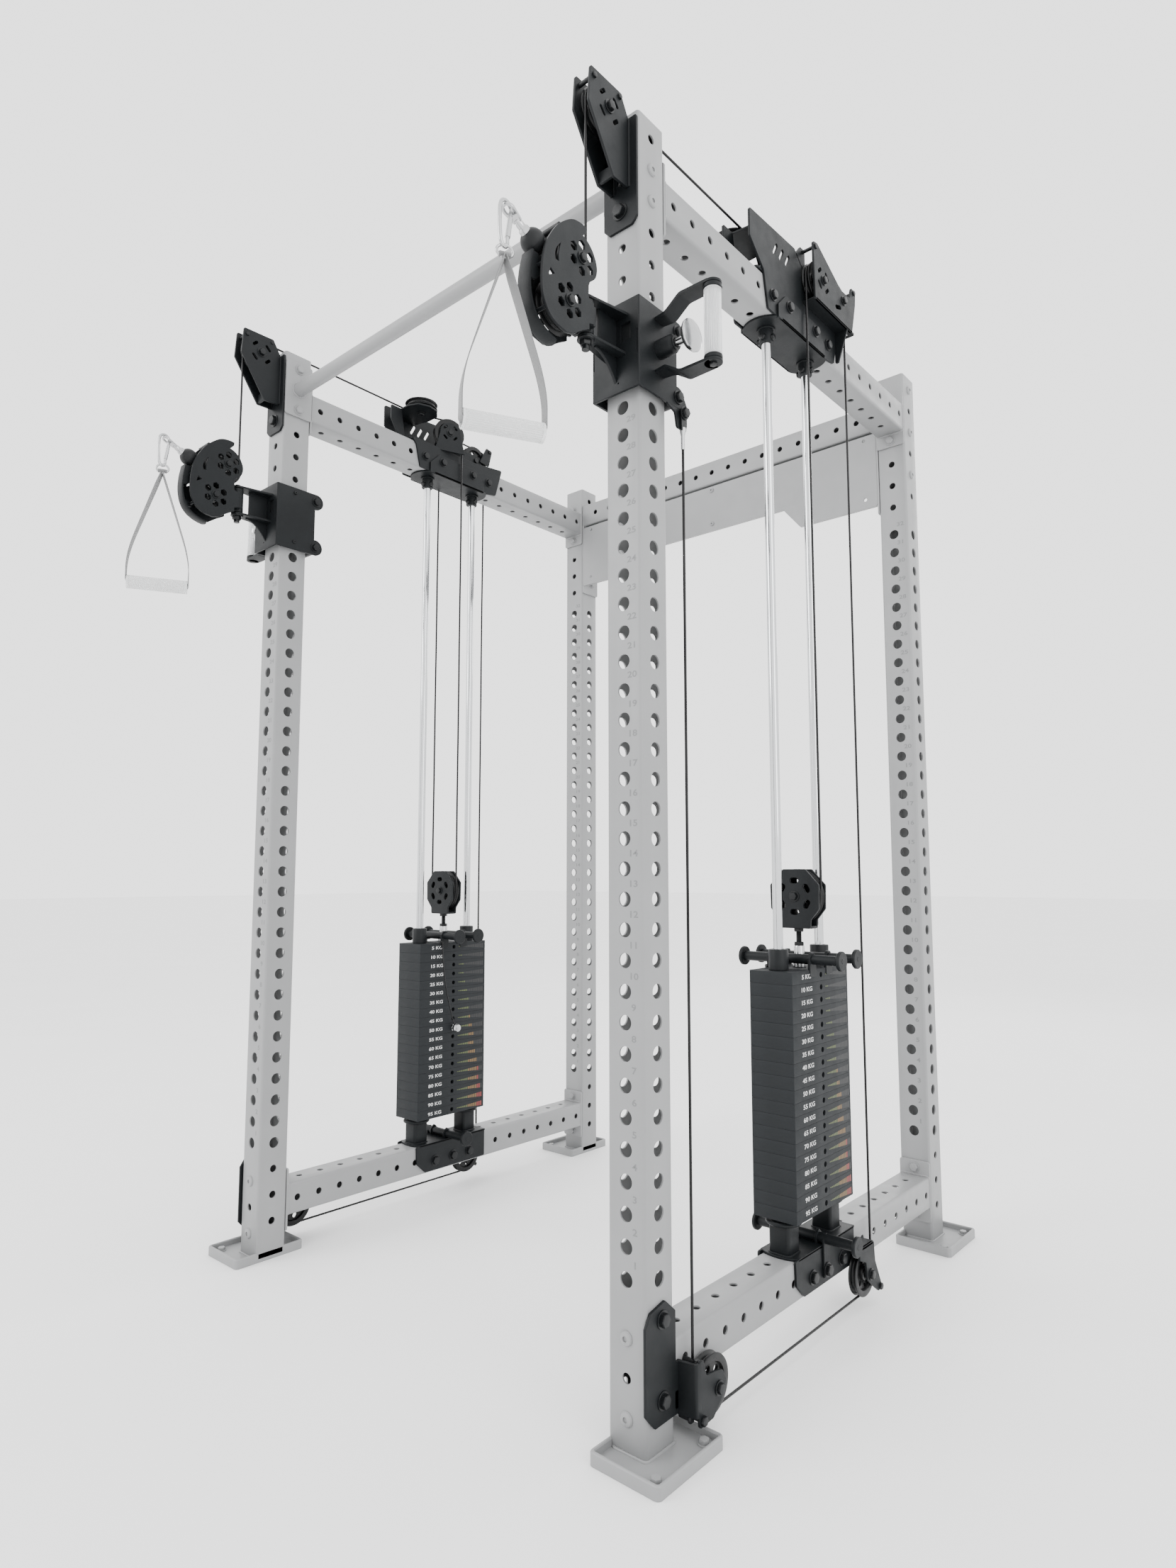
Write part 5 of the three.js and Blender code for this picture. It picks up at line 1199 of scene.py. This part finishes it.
def cable_stop(s):
    body = "cable_stop_*"
    ball = [(BALL_R * math.sin(a), -BALL_R * math.cos(a)) for a in (math.pi * k / 24 for k in range(25))]
    ball[0], ball[-1] = (0, -BALL_R), (0, BALL_R)
    solids = [
        lathe(ball, EXIT_DIR, BALL, 48), ring(EXIT_DIR, BALL - EXIT_DIR * (BALL_R - 1), 7, 2.6, 5, 1.2),
        ring(EXIT_DIR, BALL, BALL_R + 0.25, BALL_R - 3, 1.6, 0.4, 64),
    ]
    s.add("stop_ball_*", solids, body, (RUBBER, "ball_rubber"), "cable_end_*")
    swivel = [(0, 17), (9, 17.5), (9, 23), (7.4, 25), (6.4, 26), (6.4, 33), (5.4, 35), (4.6, 40), (0, 41)]
    s.add("stop_swivel_*", [lathe(swivel, EXIT_DIR, BALL, 32), eye_plate()], body, ON_PIN)


def spread(t):
    """How far along the grip a strap's leg is, from 0 at the ring to 1 at the grip's end."""
    if t < 0.55:
        return 1.3 * t
    q = min(1.0, (t - 0.55) / 0.35)
    return 0.715 * (2 * q ** 3 - 3 * q * q + 1) + 0.455 * (q ** 3 - 2 * q * q + q) + (3 * q * q - 2 * q ** 3)


def handle(s):
    """Both handles hang turned the same way, so the left one undoes the mirror in its direction."""
    body = "handle_*"
    direction = Vector((GRIP_DIR.x * s.sign, GRIP_DIR.y, 0))
    shape = smooth([(-10.5, 24), (-7, 34), (0, 38), (7, 36.5), (11.5, 31), (12, 24), (8.5, 0), (5, -22),
                    (4.5, -33), (0, -38), (-6, -35), (-9.5, -26), (-11, 0)], (), 4)
    ring_centre = HOOK + Vector((0, 0, -38 - 6))
    solids = [
        swept([HOOK + Y * p + Z * q for p, q in shape], circle(3.2, 12), closed=True),
        swept([HOOK + Vector((0, 11, 14)), HOOK + Vector((0, 5.6, -20))], circle(4.2, 14)),
        swept([ring_centre - Z + direction * 13 * p + Z * 10 * q for p, q in circle(1, 40)],
            circle(2.3, 12), closed=True),
    ]
    s.add("carabiner_*", solids, body, ON_PIN, "strap_handle_*")
    middle = Vector((X_MID, HOOK.y, 0))
    top_z = ring_centre.z - 9
    out = direction.cross(Z)
    steps, pitch, web = 44, 0.006, 0.01
    legs, uvs = [], []
    for sign, lift, twisted in ((-1, 1.2, -0.24), (1, -1.2, 0.12)):
        rows = []
        for t in (k / steps for k in range(steps + 1)):
            z = top_z + (GRIP_Z + 5 - top_z) * t
            twist = twisted * (1 - t)
            wide = (out * math.cos(twist) * s.sign + direction * math.sin(twist)).normalized()
            along = sign * (GRIP_LEN / 2 + 1.6) * spread(t)
            rows.append((middle + direction * along + Z * z + out * lift * (1 - t), wide, t))
        last, wide, _ = rows[-1]
        for k in range(1, 9):
            a = k / 8 * math.pi / 2
            rows.append((last - Z * 9 * math.sin(a) - direction * sign * 9 * (1 - math.cos(a)),
                         wide, 1 + 0.05 * k))
        rings = []
        for centre, wide, t in rows:
            width = (11.5 if t < 1 else 11.5 - 5.0 * (t - 1)) * (0.72 + 0.28 * min(1.0, t / 0.12))
            normal = wide.cross(Z).normalized()
            rings.append([centre + wide * a * width + normal * b
                          for a, b in ((-1, -0.8), (1, -0.8), (1, 0.8), (-1, 0.8))])
        legs.append(loft(rings))
        uvs += [rectangle(k * web, (k + 1) * web, i * pitch, (i + 1) * pitch)
                for i in range(len(rings) - 1) for k in range(4)] + [[(0, 0)] * 4] * 2
    mesh = s.mesh(legs, s.full("web_strap_*"))
    layer = mesh.uv_layers.new(name="UVMap")
    for polygon, corners in zip(mesh.polygons, uvs):
        for loop_index, uv in zip(polygon.loop_indices, corners[::s.sign]):
            layer.data[loop_index].uv = uv
    s.finish("web_strap_*", mesh, body, ON_STRAP, angle=50)
    fold = s.mesh(rod(direction, middle + Z * (top_z + 2), 4.6, 20, 1.5, 28), s.full("web_fold_*"))
    fold.uv_layers.new(name="UVMap")
    s.finish("web_fold_*", fold, body, ON_STRAP, angle=40)
    s.add("handle_grip_*", ribbed_grip(direction, middle + Z * GRIP_Z, 15.3, 12.4, GRIP_LEN, 5), body,
        (FROST, "strap_web"))


# ---- stations ----------------------------------------------------------------------------------------------
for station in (Station("R", 1), Station("L", -1)):
    upright(station, "front", 0.0)
    upright(station, "rear", Y_BACK)
    side_beam(station, "top", TOP_Z)
    side_beam(station, "low", LOW_Z)
    for build in (top_front, top_mid, base, floor_bracket, weights, lift_gear, selector, lanyard, carriage,
                  pull_pin, head, cable_stop, handle, cable):
        build(station)
    for name, node, axis, centre, pitch in (
        ("front_top_pulley", "top_front_pulley", X, (X_MID, *FRONT_AXLE), ARM_R),
        ("turn_pulley", "turn_pulley", Z, TURN, MID_R),
        ("drop_pulley", "drop_pulley", SLANT_AXIS, DROP, MID_R),
        ("over_pulley_front", "over_pulley_front", X, (OUTER_X, *OVER_FRONT), MID_R),
        ("over_pulley_rear", "over_pulley_rear", X, (OUTER_X, *OVER_REAR), MID_R),
        ("base_pulley", "base_pulley", X, (OUTER_X, *BASE_AXLE), LOW_R),
        ("floor_pulley", "floor_pulley", X, (OUTER_X, *FLOOR_AXLE), LOW_R),
        ("lift_pulley", "lift_pulley", Y, (X_MID, STACK_Y, LIFT_Z), LIFT_R),
        ("upper_arm_pulley", "arm_pulley_upper", X, (X_MID, *HEAD_UP), ARM_R),
        ("lower_arm_pulley", "arm_pulley_lower", X, (X_MID, *HEAD_LOW), ARM_R),
    ):
        pulley(station, name, node, axis, centre, pitch)
    for y, which in zip(ROD_Y, ("front", "rear")):
        station.add(f"guide_rod_{which}_*_steel", rod(Z, (X_MID, y, 1137), 10, 1898, 0.6, 40), "rack",
                    (CHROME, "rod_chrome"), f"guide_rod_{which}_*")
cross_pieces(Station("", 1))

# ---- floor, light and camera -------------------------------------------------------------------------------
floor_mesh = bpy.data.meshes.new("floor")
floor_mesh.from_pydata([(-40, -40, 0), (40, -40, 0), (40, 40, 0), (-40, 40, 0)], [], [(0, 1, 2, 3)])
floor_piece = linked("floor", floor_mesh)
floor_look = Nodes("floor_pale", (0.9, 0.9, 0.9), 0.7)
floor_look.tint(floor_look.noise(1.5, 3), 0.01)
floor_mesh.materials.append(floor_look.mat)

world = bpy.data.worlds.new("studio")
world.use_nodes = True
background = world.node_tree.nodes["Background"]
background.inputs["Color"].default_value = (1, 1, 1, 1)
background.inputs["Strength"].default_value = 2.4
bpy.context.scene.world = world


def lamp(name, place, aim, size, watts):
    data = bpy.data.lights.new(name, "AREA")
    data.shape = "RECTANGLE"
    data.size, data.size_y = size
    data.energy = watts
    item = linked(name, data)
    item.location = place
    item.rotation_euler = (Vector(aim) - Vector(place)).to_track_quat("-Z", "Y").to_euler()


lamp("key", (-2.5, -4.5, 3.6), (0, 0, 1.2), (2.5, 2.5), 120)
lamp("fill", (4.5, -1.0, 2.6), (0, 0, 1.1), (2.0, 3.0), 66)
lamp("back", (0.0, 5.0, 3.6), (0, 0, 1.2), (3.0, 2.0), 66)

camera_data = bpy.data.cameras.new("camera")
camera_data.lens = 21.33
camera_data.sensor_width = 36
camera_data.clip_end = 200
camera = linked("camera", camera_data)
forward = Vector((-0.65529, 0.74893, 0.09849)).normalized()
right = Vector((0.75258, 0.65850, -0.00017))
right = (right - forward * right.dot(forward)).normalized()
camera_place = Vector((1549.93, -1203.50 + SHIFT_Y, 906.60)) * MM
camera.matrix_world = basis(right, right.cross(forward), -forward, camera_place)
bpy.context.scene.camera = camera

bpy.context.view_layer.update()
